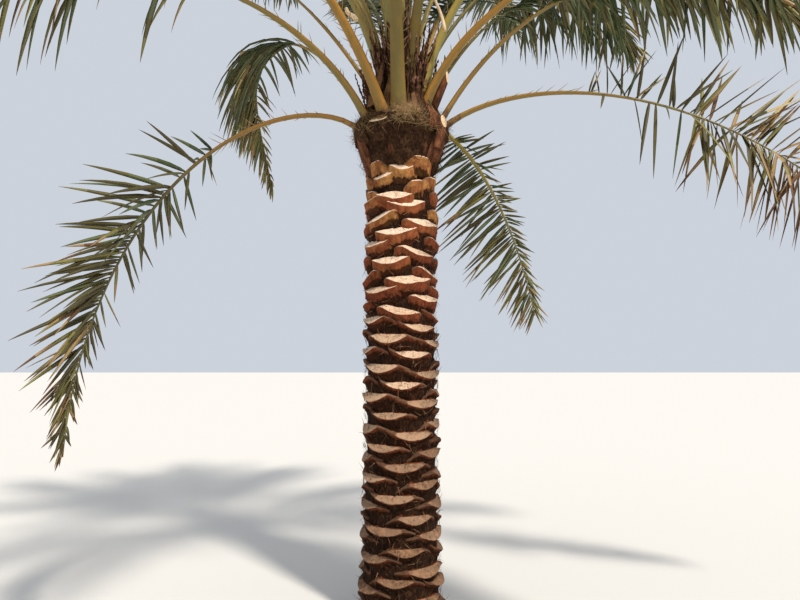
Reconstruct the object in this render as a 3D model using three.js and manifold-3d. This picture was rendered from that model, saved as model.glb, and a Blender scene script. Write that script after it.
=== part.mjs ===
// Date palm tree, rooted in the ground. Millimetres, +Z up, origin at the centre of the flat cut
// at ground level. The side that is seen best faces -Y, and azimuths count from there towards +X.

import * as THREE from 'three';
import { mergeVertices } from 'three/addons/utils/BufferGeometryUtils.js';
import Module from 'manifold-3d';

// Clearance between pieces that touch
const SEAT_GAP = 0.3;

// Round pieces: radius at each height. The trunk's and crown foot's are over the cut leaf bases
const TRUNK_FACES = 28;
const SPEAR_FACES = 8;
const TRUNK_PROFILE = [
  [285, 0],
  [266, 150],
  [256, 500],
  [248, 1200],
  [245, 2400],
  [240, 2600],
  [232, 2710],
];
const CROWN_FOOT_PROFILE = [
  [232, 2710 + SEAT_GAP],
  [262, 2850],
  [304, 3000],
  [294, 3050],
];
const HEART_PROFILE = [
  [294, 3050 + SEAT_GAP],
  [235, 3130],
  [160, 3300],
  [105, 3450],
  [50, 3600],
];
const SPEAR_PROFILE = [
  [50, 3600 + SEAT_GAP],
  [46, 3800],
  [34, 4300],
  [16, 4700],
  [4, 4900],
];

// Every frond's stalk and blade. Its length is walked in steps, and has a section at each station.
// stalkEnd, bladeFull and bladeTaper are shares of the length
const FROND = {
  steps: 40,
  stations: [0, 1, 2, 3, 4, 6, 8, 10, 13, 17, 21, 25, 29, 33, 37, 40],
  stalkEnd: 0.28,
  stalkNarrowing: 0.66,
  stalkEdge: 16,
  stalkLift: 0.2,
  bladeFull: 0.46,
  bladeTaper: 0.66,
  bladeHalfWidth: 285,
  bladeTipHalfWidth: 40,
  bladeEdge: 7,
  openingCurve: 0.6,
  taperCurve: 1.5,
  swingCurve: 1.2,
  ribFoot: 34,
  ribTip: 10,
};

// Each frond: the way it points, where its stalk leaves the heart, its slope there and at the tip,
// its length, how early it bends (low numbers bend at the foot), how far it swings sideways, its
// roll, the lift of the blade's edges (less than 0 hangs), its stalk's half width at the foot, and
// the step where it is split at the bend
const FRONDS = [
  { name: 'left_low', azimuth: -71, radius: 270, height: 3000, rise: 90, fall: -88, length: 2950,
    bend: 0.28, swing: 0, roll: 40, lift: -0.2, stalk: 21, split: 10 },
  { name: 'right_droop', azimuth: 107, radius: 280, height: 3070, rise: 48, fall: -79, length: 1450,
    bend: 0.16, swing: -12, roll: -35, lift: -0.2, stalk: 18, split: 10 },
  { name: 'right_low', azimuth: 84, radius: 270, height: 3050, rise: 48, fall: -54, length: 3300,
    bend: 0.52, swing: 0, roll: 32, lift: -0.25, stalk: 25, split: 17 },
  { name: 'left_front', azimuth: -54, radius: 250, height: 3030, rise: 61, fall: -68, length: 2900,
    bend: 0.85, swing: 0, roll: 0, lift: -0.3, stalk: 34, split: 17 },
  { name: 'back_arch', azimuth: 180, radius: 250, height: 3110, rise: 60, fall: -46, length: 3000,
    bend: 0.9, swing: 0, roll: 0, lift: -0.3, stalk: 34, split: 17 },
  { name: 'right_mid', azimuth: 93, radius: 250, height: 3100, rise: 60, fall: -45, length: 3200,
    bend: 1.3, swing: 0, roll: 0, lift: -0.3, stalk: 27, split: 21 },
  { name: 'center', azimuth: -4, radius: 230, height: 3050, rise: 80, fall: -30, length: 3200,
    bend: 1.0, swing: 0, roll: 0, lift: -0.15, stalk: 50, split: 21 },
  { name: 'front_left', azimuth: -42, radius: 160, height: 3090, rise: 66, fall: -40, length: 3200,
    bend: 0.9, swing: 8, roll: 0, lift: -0.15, stalk: 42, split: 21 },
  { name: 'right_front', azimuth: 50, radius: 190, height: 3130, rise: 72, fall: -70, length: 3100,
    bend: 0.7, swing: 0, roll: 0, lift: -0.3, stalk: 36, split: 17 },
  { name: 'left_back', azimuth: -114, radius: 230, height: 3100, rise: 68, fall: -65, length: 3400,
    bend: 1.08, swing: -84, roll: 0, lift: -0.3, stalk: 28, split: 17 },
  { name: 'left_mid', azimuth: -112, radius: 150, height: 3255, rise: 60, fall: 12, length: 3100,
    bend: 1.2, swing: 6, roll: 0, lift: -0.2, stalk: 30, split: 21 },
  { name: 'right_back', azimuth: 113, radius: 165, height: 3200, rise: 62, fall: -32, length: 2800,
    bend: 1.5, swing: 17, roll: 0, lift: -0.2, stalk: 28, split: 21 },
  { name: 'inner_left', azimuth: -78, radius: 130, height: 3250, rise: 80, fall: -20, length: 3000,
    bend: 1.2, swing: 0, roll: 0, lift: 0.1, stalk: 40, split: 21 },
  { name: 'inner_right', azimuth: 70, radius: 150, height: 3260, rise: 80, fall: -30, length: 3000,
    bend: 1.0, swing: 0, roll: 0, lift: 0.1, stalk: 36, split: 21 },
  { name: 'back_left', azimuth: -166, radius: 190, height: 3240, rise: 72, fall: 10, length: 3000,
    bend: 1.1, swing: 0, roll: 0, lift: 0, stalk: 38, split: 21 },
  { name: 'back_right', azimuth: 150, radius: 180, height: 3280, rise: 74, fall: -10, length: 3000,
    bend: 1.2, swing: 0, roll: 0, lift: 0.1, stalk: 38, split: 21 },
  { name: 'inner_side', azimuth: 103, radius: 110, height: 3330, rise: 68, fall: -25, length: 3000,
    bend: 1.2, swing: 0, roll: 0, lift: 0.15, stalk: 30, split: 21 },
  { name: 'inner_front', azimuth: 26, radius: 120, height: 3280, rise: 82, fall: 0, length: 2900,
    bend: 1.1, swing: 0, roll: 0, lift: 0.2, stalk: 38, split: 21 },
  { name: 'high_left', azimuth: -132, radius: 120, height: 3380, rise: 78, fall: -5, length: 2900,
    bend: 1.1, swing: 0, roll: 0, lift: 0.2, stalk: 34, split: 21 },
  { name: 'high_side', azimuth: -98, radius: 100, height: 3430, rise: 80, fall: 0, length: 2900,
    bend: 1.1, swing: 0, roll: 0, lift: 0.2, stalk: 32, split: 21 },
  { name: 'high_front', azimuth: -24, radius: 100, height: 3380, rise: 83, fall: 5, length: 2900,
    bend: 1.1, swing: 0, roll: 0, lift: 0.2, stalk: 34, split: 21 },
  { name: 'high_back', azimuth: 170, radius: 110, height: 3400, rise: 81, fall: 5, length: 2900,
    bend: 1.1, swing: 0, roll: 0, lift: 0.2, stalk: 34, split: 21 },
  { name: 'high_right', azimuth: 130, radius: 100, height: 3430, rise: 82, fall: 0, length: 2900,
    bend: 1.1, swing: 0, roll: 0, lift: 0.2, stalk: 32, split: 21 },
  { name: 'young_left', azimuth: -60, radius: 70, height: 3470, rise: 84, fall: 20, length: 2700,
    bend: 1.2, swing: 0, roll: 0, lift: 0.3, stalk: 24, split: 21 },
  { name: 'young_back', azimuth: -160, radius: 70, height: 3480, rise: 85, fall: 25, length: 2700,
    bend: 1.2, swing: 0, roll: 0, lift: 0.3, stalk: 24, split: 21 },
  { name: 'young_right', azimuth: 84, radius: 60, height: 3490, rise: 86, fall: 30, length: 2600,
    bend: 1.2, swing: 0, roll: 0, lift: 0.3, stalk: 22, split: 21 },
  { name: 'young_front', azimuth: 4, radius: 60, height: 3500, rise: 87, fall: 35, length: 2600,
    bend: 1.2, swing: 0, roll: 0, lift: 0.3, stalk: 22, split: 21 },
];

const MATERIALS = {
  bark: { color: 0x6e4a33, roughness: 0.95, metalness: 0 },
  fibre: { color: 0x4a3426, roughness: 1.0, metalness: 0 },
  heart: { color: 0x8a7340, roughness: 0.9, metalness: 0 },
  spear: { color: 0xa3a755, roughness: 0.6, metalness: 0 },
  frond: { color: 0x6f7440, roughness: 0.7, metalness: 0 },
};

const wasm = await Module();
wasm.setup();

const palm = new THREE.Group();

function addPiece(name, geometry, finish) {
  const mesh = new THREE.Mesh(geometry, new THREE.MeshStandardMaterial(MATERIALS[finish]));
  mesh.name = name;
  palm.add(mesh);
}

// A closed solid from a geometry whose seams are welded
function toSolid(geometry) {
  geometry.deleteAttribute('normal');
  geometry.deleteAttribute('uv');
  const welded = mergeVertices(geometry, 1e-4);
  return new wasm.Manifold(new wasm.Mesh({
    numProp: 3,
    vertProperties: new Float32Array(welded.attributes.position.array),
    triVerts: new Uint32Array(welded.index.array),
  }));
}

function toGeometry(solid) {
  const mesh = solid.getMesh();
  const geometry = new THREE.BufferGeometry();
  geometry.setAttribute('position', new THREE.BufferAttribute(mesh.vertProperties, 3));
  geometry.setIndex(new THREE.BufferAttribute(mesh.triVerts, 1));
  return geometry;
}

// A round piece turned about the trunk's axis, grown outwards all round when it cuts another
function turned(profile, { faces = TRUNK_FACES, grow = 0 } = {}) {
  const wall = profile.map(([radius, height]) => new THREE.Vector2(radius + grow, height));
  if (grow > 0) {
    wall.unshift(new THREE.Vector2(wall[0].x, wall[0].y - grow));
    wall.push(new THREE.Vector2(wall.at(-1).x, wall.at(-1).y + grow));
  }
  const points = [
    new THREE.Vector2(0, wall[0].y),
    ...wall,
    new THREE.Vector2(0, wall.at(-1).y),
  ];
  const geometry = new THREE.LatheGeometry(points, faces);
  geometry.rotateX(Math.PI / 2);
  return geometry;
}

function radians(degrees) {
  return degrees * Math.PI / 180;
}

function mix(from, to, share) {
  return from + (to - from) * share;
}

// How far a share has come from one end of a range to the other, from 0 to 1
function progress(share, from, to) {
  return Math.min(Math.max((share - from) / (to - from), 0), 1);
}

// Slope and heading of the rib at a share of the frond's length
function ribDirection(frond, share) {
  const slope = radians(frond.rise + (frond.fall - frond.rise) * share ** frond.bend);
  const heading = radians(frond.azimuth + frond.swing * share ** FROND.swingCurve);
  return { slope, heading };
}

function ribTangent({ slope, heading }) {
  return new THREE.Vector3(
    Math.sin(heading) * Math.cos(slope),
    -Math.cos(heading) * Math.cos(slope),
    Math.sin(slope),
  );
}

// Points along the rib, one for each step of the frond's length
function ribPoints(frond) {
  const heading = radians(frond.azimuth);
  const points = [new THREE.Vector3(
    Math.sin(heading) * frond.radius,
    -Math.cos(heading) * frond.radius,
    frond.height,
  )];
  for (let step = 0; step < FROND.steps; step += 1) {
    const tangent = ribTangent(ribDirection(frond, (step + 0.5) / FROND.steps));
    points.push(points[step].clone().addScaledVector(tangent, frond.length / FROND.steps));
  }
  return points;
}

// Half width, rib thickness, edge thickness and edge lift of the section at a share of the length
function sectionSize(frond, share) {
  const opening = progress(share, FROND.stalkEnd, FROND.bladeFull);
  const tapering = progress(share, FROND.bladeTaper, 1);
  const narrowing = mix(1, FROND.stalkNarrowing, progress(share, 0, FROND.stalkEnd));
  const blade = mix(FROND.bladeHalfWidth, FROND.bladeTipHalfWidth, tapering ** FROND.taperCurve);
  return {
    halfWidth: mix(frond.stalk * narrowing, blade, opening ** FROND.openingCurve),
    rib: mix(FROND.ribFoot, FROND.ribTip, share),
    edge: mix(FROND.stalkEdge, FROND.bladeEdge, opening),
    lift: mix(FROND.stalkLift, frond.lift, opening),
  };
}

// The six corners of a folded section: right edge, rib and left edge, each with two faces
function sectionCorners(frond, centre, share, grow) {
  const direction = ribDirection(frond, share);
  const tangent = ribTangent(direction);
  const side = new THREE.Vector3(Math.cos(direction.heading), Math.sin(direction.heading), 0);
  side.applyAxisAngle(tangent, radians(frond.roll * progress(share, 0, FROND.bladeFull)));
  const up = tangent.clone().cross(side);
  const size = sectionSize(frond, share);
  const corner = (across, above) => centre.clone()
    .addScaledVector(side, across)
    .addScaledVector(up, above);
  const edgeAcross = size.halfWidth + grow;
  const edgeLift = size.lift * size.halfWidth;
  const edgeHalf = size.edge / 2 + grow;
  const ribHalf = size.rib / 2 + grow;
  return [
    corner(edgeAcross, edgeLift - edgeHalf),
    corner(edgeAcross, edgeLift + edgeHalf),
    corner(0, ribHalf),
    corner(-edgeAcross, edgeLift + edgeHalf),
    corner(-edgeAcross, edgeLift - edgeHalf),
    corner(0, -ribHalf),
  ];
}

// One closed length of a frond, from one station to another
function frondGeometry(frond, firstStep, lastStep, grow = 0) {
  const points = ribPoints(frond);
  const steps = FROND.stations.filter((step) => step >= firstStep && step <= lastStep);
  const positions = [];
  steps.forEach((step) => {
    const share = step / FROND.steps;
    const centre = points[step].clone();
    const tangent = ribTangent(ribDirection(frond, share));
    if (step === frond.split && step === lastStep) {
      centre.addScaledVector(tangent, -SEAT_GAP / 2);
    }
    if (step === frond.split && step === firstStep) {
      centre.addScaledVector(tangent, SEAT_GAP / 2);
    }
    sectionCorners(frond, centre, share, grow).forEach((corner) => positions.push(...corner));
  });
  const corners = 6;
  const indices = [];
  for (let ring = 0; ring < steps.length - 1; ring += 1) {
    for (let corner = 0; corner < corners; corner += 1) {
      const here = ring * corners + corner;
      const next = ring * corners + (corner + 1) % corners;
      indices.push(here, next, next + corners);
      indices.push(here, next + corners, here + corners);
    }
  }
  const capTriangles = [[0, 1, 2], [0, 2, 5], [5, 2, 3], [5, 3, 4]];
  const lastRing = (steps.length - 1) * corners;
  capTriangles.forEach(([a, b, c]) => {
    indices.push(c, b, a);
    indices.push(lastRing + a, lastRing + b, lastRing + c);
  });
  const geometry = new THREE.BufferGeometry();
  geometry.setAttribute('position', new THREE.BufferAttribute(new Float32Array(positions), 3));
  geometry.setIndex(indices);
  return geometry;
}

// The largest of the bodies that a cut leaves
function largestBody(solid) {
  return solid.decompose().reduce((best, body) => (body.volume() > best.volume() ? body : best));
}

addPiece('trunk', turned(TRUNK_PROFILE), 'bark');
addPiece('crown_foot', turned(CROWN_FOOT_PROFILE), 'fibre');
addPiece('heart', turned(HEART_PROFILE), 'heart');
addPiece('spear_leaf', turned(SPEAR_PROFILE, { faces: SPEAR_FACES }), 'spear');

// What a stalk is cut back from: the trunk, heart and spear, and the fronds that are already placed
let taken = [
  toSolid(turned(CROWN_FOOT_PROFILE, { grow: SEAT_GAP })),
  toSolid(turned(HEART_PROFILE, { grow: SEAT_GAP })),
  toSolid(turned(SPEAR_PROFILE, { faces: SPEAR_FACES, grow: SEAT_GAP })),
].reduce((all, solid) => all.add(solid));

FRONDS.forEach((frond) => {
  const lengths = [
    { name: `frond_${frond.name}_stalk`, first: 0, last: frond.split },
    { name: `frond_${frond.name}_tip`, first: frond.split, last: FROND.steps },
  ];
  const placed = [];
  lengths.forEach(({ name, first, last }) => {
    const cut = largestBody(toSolid(frondGeometry(frond, first, last)).subtract(taken));
    addPiece(name, toGeometry(cut), 'frond');
    placed.push(toSolid(frondGeometry(frond, first, last, SEAT_GAP)));
  });
  placed.forEach((solid) => {
    taken = taken.add(solid);
  });
});

export default palm;
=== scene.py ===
import math
from collections import namedtuple
from itertools import accumulate
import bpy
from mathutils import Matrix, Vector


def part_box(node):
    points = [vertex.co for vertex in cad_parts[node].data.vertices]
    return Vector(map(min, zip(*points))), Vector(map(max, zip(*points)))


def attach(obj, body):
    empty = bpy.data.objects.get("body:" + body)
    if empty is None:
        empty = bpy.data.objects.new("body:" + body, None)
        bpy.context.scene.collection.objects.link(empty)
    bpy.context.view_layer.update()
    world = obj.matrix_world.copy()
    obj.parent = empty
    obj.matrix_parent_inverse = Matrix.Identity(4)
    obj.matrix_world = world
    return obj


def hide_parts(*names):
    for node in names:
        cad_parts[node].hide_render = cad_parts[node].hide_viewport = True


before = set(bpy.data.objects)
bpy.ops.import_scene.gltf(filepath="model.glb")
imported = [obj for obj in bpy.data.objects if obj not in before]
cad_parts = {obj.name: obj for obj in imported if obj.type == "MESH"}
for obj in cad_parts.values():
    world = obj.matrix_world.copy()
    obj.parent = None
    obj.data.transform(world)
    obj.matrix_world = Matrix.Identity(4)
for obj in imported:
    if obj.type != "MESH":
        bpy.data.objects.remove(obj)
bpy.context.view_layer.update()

from types import SimpleNamespace

import bpy
import numpy as np
from mathutils import Vector, noise


# One output socket. Python's operators on it add maths nodes
class Wire:
    def __init__(self, net, socket):
        self.net = net
        self.socket = socket

    def __add__(self, other):
        return self.net.maths("ADD", self, other)

    def __radd__(self, other):
        return self.net.maths("ADD", other, self)

    def __sub__(self, other):
        return self.net.maths("SUBTRACT", self, other)

    def __rsub__(self, other):
        return self.net.maths("SUBTRACT", other, self)

    def __mul__(self, other):
        return self.net.maths("MULTIPLY", self, other)

    def __rmul__(self, other):
        return self.net.maths("MULTIPLY", other, self)

    def __truediv__(self, other):
        return self.net.maths("DIVIDE", self, other)

    def __gt__(self, other):
        return self.net.maths("GREATER_THAN", self, other)

    def isVector(self):
        return self.socket.type == "VECTOR"


# The sockets of one node, by name or by place
class Ends:
    def __init__(self, net, made):
        self.net = net
        self.owner = made
        self.sockets = made.outputs

    def __getitem__(self, key):
        return Wire(self.net, findSocket(self.sockets, key))


def findSocket(sockets, key):
    if isinstance(key, int):
        return sockets[key]
    return next(socket for socket in sockets if socket.name == key and socket.enabled)


# A node tree, of a material or of Geometry Nodes
class Net:
    def __init__(self, tree):
        self.tree = tree

    # Adds one node: first its settings, then the values or links of its sockets
    def node(self, kind, settings=None, sockets=None):
        made = self.tree.nodes.new(kind)
        for name, value in (settings or {}).items():
            if name == "stops":
                self.setStops(made.color_ramp, value)
            else:
                setattr(made, name, value)
        for key, value in (sockets or {}).items():
            target = findSocket(made.inputs, key)
            if isinstance(value, Wire):
                self.tree.links.new(value.socket, target)
            else:
                target.default_value = value
        return Ends(self, made)

    def setStops(self, ramp, stops):
        while len(ramp.elements) < len(stops):
            ramp.elements.new(1.0)
        for element, (position, colour) in zip(ramp.elements, stops):
            element.position = position
            element.color = colour

    def maths(self, operation, a, b):
        vectors = [isinstance(x, tuple) or isinstance(x, Wire) and x.isVector() for x in (a, b)]
        if not any(vectors):
            return self.node("ShaderNodeMath", {"operation": operation}, {0: a, 1: b})[0]
        if operation == "MULTIPLY" and not all(vectors):
            vector, number = (a, b) if vectors[0] else (b, a)
            return self.node("ShaderNodeVectorMath", {"operation": "SCALE"}, {0: vector, "Scale": number})[0]
        return self.node("ShaderNodeVectorMath", {"operation": operation}, {0: a, 1: b})[0]

    def dot(self, a, b):
        return self.node("ShaderNodeVectorMath", {"operation": "DOT_PRODUCT"}, {0: a, 1: b})["Value"]

    # Joins geometries, the first one given first
    def join(self, *parts):
        made = self.node("GeometryNodeJoinGeometry")
        for part in reversed(parts):
            self.tree.links.new(part.socket, made.owner.inputs[0])
        return made[0]

    def attribute(self, name, kind="FLOAT"):
        return self.node("GeometryNodeInputNamedAttribute", {"data_type": kind}, {"Name": name})["Attribute"]

    def combine(self, x=0.0, y=0.0, z=0.0):
        return self.node("ShaderNodeCombineXYZ", {}, {"X": x, "Y": y, "Z": z})["Vector"]

    def store(self, geometry, name, value, kind="FLOAT"):
        return self.node("GeometryNodeStoreNamedAttribute", {"data_type": kind, "domain": "POINT"},
                         {"Geometry": geometry, "Name": name, "Value": value})["Geometry"]

    # A number drawn for each point
    def draw(self, low, high, seed):
        index = self.node("GeometryNodeInputIndex")["Index"]
        return self.node("FunctionNodeRandomValue", {"data_type": "FLOAT"}, {
            "Min": low, "Max": high, "ID": index, "Seed": seed})["Value"]


# Colours are written as they are seen, 0 to 255
def tint(red, green, blue):
    channels = [channel / 255 for channel in (red, green, blue)]
    return (*[c / 12.92 if c < 0.04045 else ((c + 0.055) / 1.055) ** 2.4 for c in channels], 1.0)


# Materials. Their colours are written in the same way

def startMaterial(name):
    material = bpy.data.materials.new(name)
    material.use_nodes = True
    material.node_tree.nodes.clear()
    net = Net(material.node_tree)
    net.material = material
    return net


def finishMaterial(net, sockets):
    shader = net.node("ShaderNodeBsdfPrincipled", {}, sockets)
    net.node("ShaderNodeOutputMaterial", {}, {"Surface": shader["BSDF"]})
    return net.material


def places(net, scale=(1, 1, 1)):
    spot = net.node("ShaderNodeTexCoord")["Object"]
    return net.node("ShaderNodeMapping", {}, {"Vector": spot, "Scale": scale})["Vector"]


def speckle(net, scale, detail=3.0, roughness=0.55, stretch=(1, 1, 1)):
    return net.node("ShaderNodeTexNoise", {}, {"Vector": places(net, stretch), "Scale": scale,
                                               "Detail": detail, "Roughness": roughness})[0]


def sharpen(net, value, low, high):
    return net.node("ShaderNodeMapRange", {"interpolation_type": "SMOOTHSTEP"},
                    {"Value": value, "From Min": low, "From Max": high})["Result"]


# Coats laid over a colour one after another, each with the share that it covers
def coat(net, colour, *coats):
    for share, over in coats:
        colour = net.node("ShaderNodeMix", {"data_type": "RGBA"},
                          {"Factor": share, "A": colour, "B": tint(*over)})["Result"]
    return colour


def ramp(net, value, *stops):
    stops = [(position, tint(*colour)) for position, colour in stops]
    return net.node("ShaderNodeValToRGB", {"stops": stops}, {"Fac": value})["Color"]


def relief(net, height, strength, distance):
    return net.node("ShaderNodeBump", {}, {
        "Height": height, "Strength": strength, "Distance": distance})["Normal"]


def heightAbove(net):
    return net.node("ShaderNodeSeparateXYZ", {}, {0: net.node("ShaderNodeTexCoord")["Object"]})["Z"]


def own(net, name):
    return net.node("ShaderNodeAttribute", {"attribute_name": name})["Fac"]


crownStart = 2.75  # metres up, from where the leaf bases look older the lower they are


# Cut faces are cream and pink near the crown, and weather to tan and brown towards the ground
def makeCutFace():
    net = startMaterial("cutLeafBase")
    aged = heightAbove(net) / crownStart + (own(net, "tone") - 0.5) * 0.24
    base = ramp(net, aged, (0.0, (112, 84, 60)), (0.3, (134, 105, 82)), (0.52, (194, 161, 130)),
                (0.7, (228, 197, 168)), (0.9, (240, 213, 188)))
    mottled = sharpen(net, speckle(net, 30, 5, 0.62), 0.44, 0.68)
    grain = sharpen(net, speckle(net, 95, 3, 0.6, (1, 1, 0.35)), 0.5, 0.72)
    weathered = 1 - sharpen(net, aged, 0.35, 0.75)
    cracks = sharpen(net, speckle(net, 46, 5, 0.7, (1, 1, 0.2)), 0.55, 0.63) * weathered
    rim = sharpen(net, own(net, "wing") + (speckle(net, 26, 3) - 0.5) * 0.3, 0.84, 0.99)
    cells = net.node("ShaderNodeTexVoronoi", {}, {
        "Vector": places(net), "Scale": 75, "Randomness": 1.0})["Distance"]
    pitted = sharpen(net, speckle(net, 11, 2, 0.5), 0.5, 0.6)
    dots = (1 - sharpen(net, cells, 0.2, 0.34)) * pitted
    colour = coat(net, base, (mottled * 0.45, (192, 140, 104)), (grain * 0.4, (156, 112, 82)),
                  (cracks * 0.7, (84, 56, 38)), (rim * 0.85, (76, 50, 35)), (dots * 0.85, (66, 42, 30)))
    return finishMaterial(net, {
        "Base Color": colour, "Roughness": 0.85, "Specular IOR Level": 0.2,
        "Normal": relief(net, grain + mottled - dots - cracks, 0.5, 0.003)})


# Bodies of the leaf bases: smooth and golden near the crown, then red brown, then dark and hairy, darkest
# towards the ground, partly as painted shade.
# Under its lip each draws back, and its colour there is painted near black as shade
def makeLeafBase():
    net = startMaterial("leafBaseBody")
    low = own(net, "low")
    aged = heightAbove(net) / crownStart + (own(net, "tone") - 0.5) * 0.16
    older = 1 - sharpen(net, aged, 0.5, 0.9)
    # The ramp nears black towards the ground: old dark bases, and partly painted shade of the deep gaps low
    # on the trunk
    base = ramp(net, aged, (0.1, (52, 34, 22)), (0.36, (66, 41, 27)), (0.55, (98, 55, 36)),
                (0.72, (132, 70, 42)), (0.87, (158, 92, 53)), (0.96, (186, 132, 76)))
    reddened = sharpen(net, speckle(net, 11, 4, 0.62), 0.46, 0.58)
    blots = speckle(net, 26, 5, 0.7)
    blotted = sharpen(net, blots, 0.46, 0.6) * (0.35 + 0.4 * older)
    lipped = 1 - sharpen(net, low + (blots - 0.5) * 0.8, 0.12, 0.42)
    lipped = lipped * older * (0.2 + 0.6 * sharpen(net, aged, 0.2, 0.44))
    streak = speckle(net, 60, 4, 0.65, (1, 1, 0.2))
    streaked = sharpen(net, streak, 0.5, 0.7)
    hairs = sharpen(net, speckle(net, 150, 3, 0.7, (1, 1, 0.12)), 0.45, 0.62)
    # sunk: painted shade, near black, growing down the body away from the lip
    sunk = sharpen(net, low + (speckle(net, 34, 4) - 0.5) * 1.1, 0.45, 0.85)
    flecks = sharpen(net, speckle(net, 70, 4, 0.7, (1, 1, 0.5)), 0.56, 0.7)
    torn = sharpen(net, own(net, "wing"), 0.93, 1.0) * (1 - sharpen(net, low, 0.06, 0.16))
    colour = coat(net, base, (reddened * 0.65, (124, 57, 36)), (blotted, (46, 27, 18)),
                  (lipped, (136, 68, 40)), (streaked * 0.4, (158, 92, 58)),
                  (hairs * (0.15 + 0.4 * older), (38, 23, 15)), (sunk * 0.82, (33, 18, 8)),
                  (flecks * older * 0.55, (128, 95, 70)), (torn * (0.2 + 0.4 * older), (116, 92, 68)))
    return finishMaterial(net, {
        "Base Color": colour, "Roughness": 0.6 + 0.32 * older, "Specular IOR Level": 0.08,
        "Normal": relief(net, streak + blots + hairs * (0.2 + 0.8 * older), 0.7, 0.005)})


def makeFibre(name, dark, middle, light, fine):
    net = startMaterial(name)
    tangled = speckle(net, fine, 4, 0.7, (1, 1, 0.3))
    clumped = speckle(net, 16, 4, 0.6)
    colour = ramp(net, tangled * 0.6 + clumped * 0.4, (0.36, dark), (0.5, middle), (0.66, light))
    return finishMaterial(net, {"Base Color": colour, "Roughness": 0.95, "Specular IOR Level": 0.08,
                                "Normal": relief(net, tangled, 0.8, 0.006)})


# Woven sheath fibre: two families of coarse threads
def makeWeave(name, dark, light):
    net = startMaterial(name)
    threads = [net.node("ShaderNodeTexWave", {"bands_direction": way},
                        {"Vector": places(net), "Scale": 60, "Distortion": 5, "Detail": 3})["Fac"]
               for way in ("DIAGONAL", "Z")]
    crossing = threads[0] * 0.5 + threads[1] * 0.5
    colour = ramp(net, crossing * 0.7 + speckle(net, 24, 4) * 0.3, (0.25, dark), (0.75, light))
    return finishMaterial(net, {"Base Color": colour, "Roughness": 0.95, "Specular IOR Level": 0.1,
                                "Normal": relief(net, crossing, 0.9, 0.004)})


# Smooth waxy stalk: its middle, its edges and what it fades to towards the tip. Its foot is scurfy
def makeStalk(name, middle, edge, far, scurfy):
    net = startMaterial(name)
    along = own(net, "along")
    rim = sharpen(net, own(net, "edge") + (speckle(net, 14, 3) - 0.5) * 0.6, 0.35, 0.95)
    faded = sharpen(net, along, 0.22, 0.52)
    streak = speckle(net, 20, 4, 0.6, (1, 1, 0.16))
    streaked = sharpen(net, streak, 0.44, 0.66) * (0.55 - 0.4 * faded)
    scars = sharpen(net, speckle(net, 110, 2, 0.6), 0.64, 0.72)
    scurf = sharpen(net, speckle(net, 24, 4, 0.65) + 0.22 - along * 5.5, 0.48, 0.66)
    colour = coat(net, tint(*middle), (rim, edge), (faded, far), (streaked, edge),
                  (scars * 0.5, (96, 66, 36)), (scurf * scurfy, (96, 62, 38)))
    return finishMaterial(net, {
        "Base Color": colour, "Roughness": 0.42 + 0.2 * streak, "Specular IOR Level": 0.35,
        "Normal": relief(net, streak, 0.25, 0.003)})


# Leaflets keep plain colours, dealt out leaflet by leaflet
def makeLeaf(name, colour, roughness):
    return finishMaterial(startMaterial(name), {
        "Base Color": tint(*colour), "Roughness": roughness, "Specular IOR Level": 0.4})


# Dark, middle and light of each kind of fibre, and how fine it is
fibres = {
    # trunkCore's near-black is partly painted shade, for the gaps between the leaf bases
    "trunkCore": ((20, 11, 6), (38, 23, 14), (70, 46, 31), 90),
    "trunkHair": ((40, 27, 20), (84, 60, 44), (160, 128, 98), 30),
    "tornEdge": ((70, 42, 28), (120, 82, 58), (178, 144, 114), 40),
    "crownFibre": ((26, 17, 11), (56, 37, 25), (98, 72, 50), 90),
    "brownHair": ((36, 23, 16), (70, 46, 31), (116, 86, 60), 30),
    "strawHair": ((122, 96, 60), (164, 138, 96), (200, 178, 136), 30),
    "paleStraw": ((136, 104, 68), (188, 154, 110), (222, 194, 152), 30),
    "redSheath": ((50, 32, 24), (98, 60, 42), (142, 94, 62), 36),
    "freshCut": ((206, 164, 120), (236, 208, 170), (248, 226, 192), 60),
    "driedFlowerStalk": ((46, 28, 24), (104, 70, 56), (176, 134, 108), 60),
}
# Dark and light of each weave
weaves = {"sheathWeave": ((38, 24, 16), (104, 76, 52)), "tanWeave": ((84, 58, 40), (160, 120, 84))}
looks = {name: makeFibre(name, *row) for name, row in fibres.items()}
looks.update({name: makeWeave(name, *row) for name, row in weaves.items()})
looks.update({"cutFace": makeCutFace(), "leafBase": makeLeafBase()})

# Middle, edge and far end of each kind of stalk, and how scurfy its foot is
stalkTints = {
    # Bronze: a darker, browner copy of the stalk colours, partly painted shade
    "Green": ((132, 126, 70), (148, 124, 60), (134, 128, 68), 0.85),
    "Bronze": ((112, 98, 48), (134, 108, 48), (136, 112, 54), 0.4),
    "Olive": ((120, 108, 56), (152, 114, 48), (124, 112, 62), 0.85),
    "Yellow": ((148, 142, 78), (172, 146, 66), (138, 130, 72), 0.85),
    "Orange": ((142, 112, 50), (174, 124, 46), (150, 126, 62), 0.25),
    "Brown": ((140, 110, 54), (160, 114, 48), (92, 88, 54), 0.85),
    "Dark": ((82, 90, 48), (116, 102, 50), (98, 98, 54), 0.85),
}
stalkLooks = {name.lower(): makeStalk("stalk" + name, *row) for name, row in stalkTints.items()}

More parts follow.
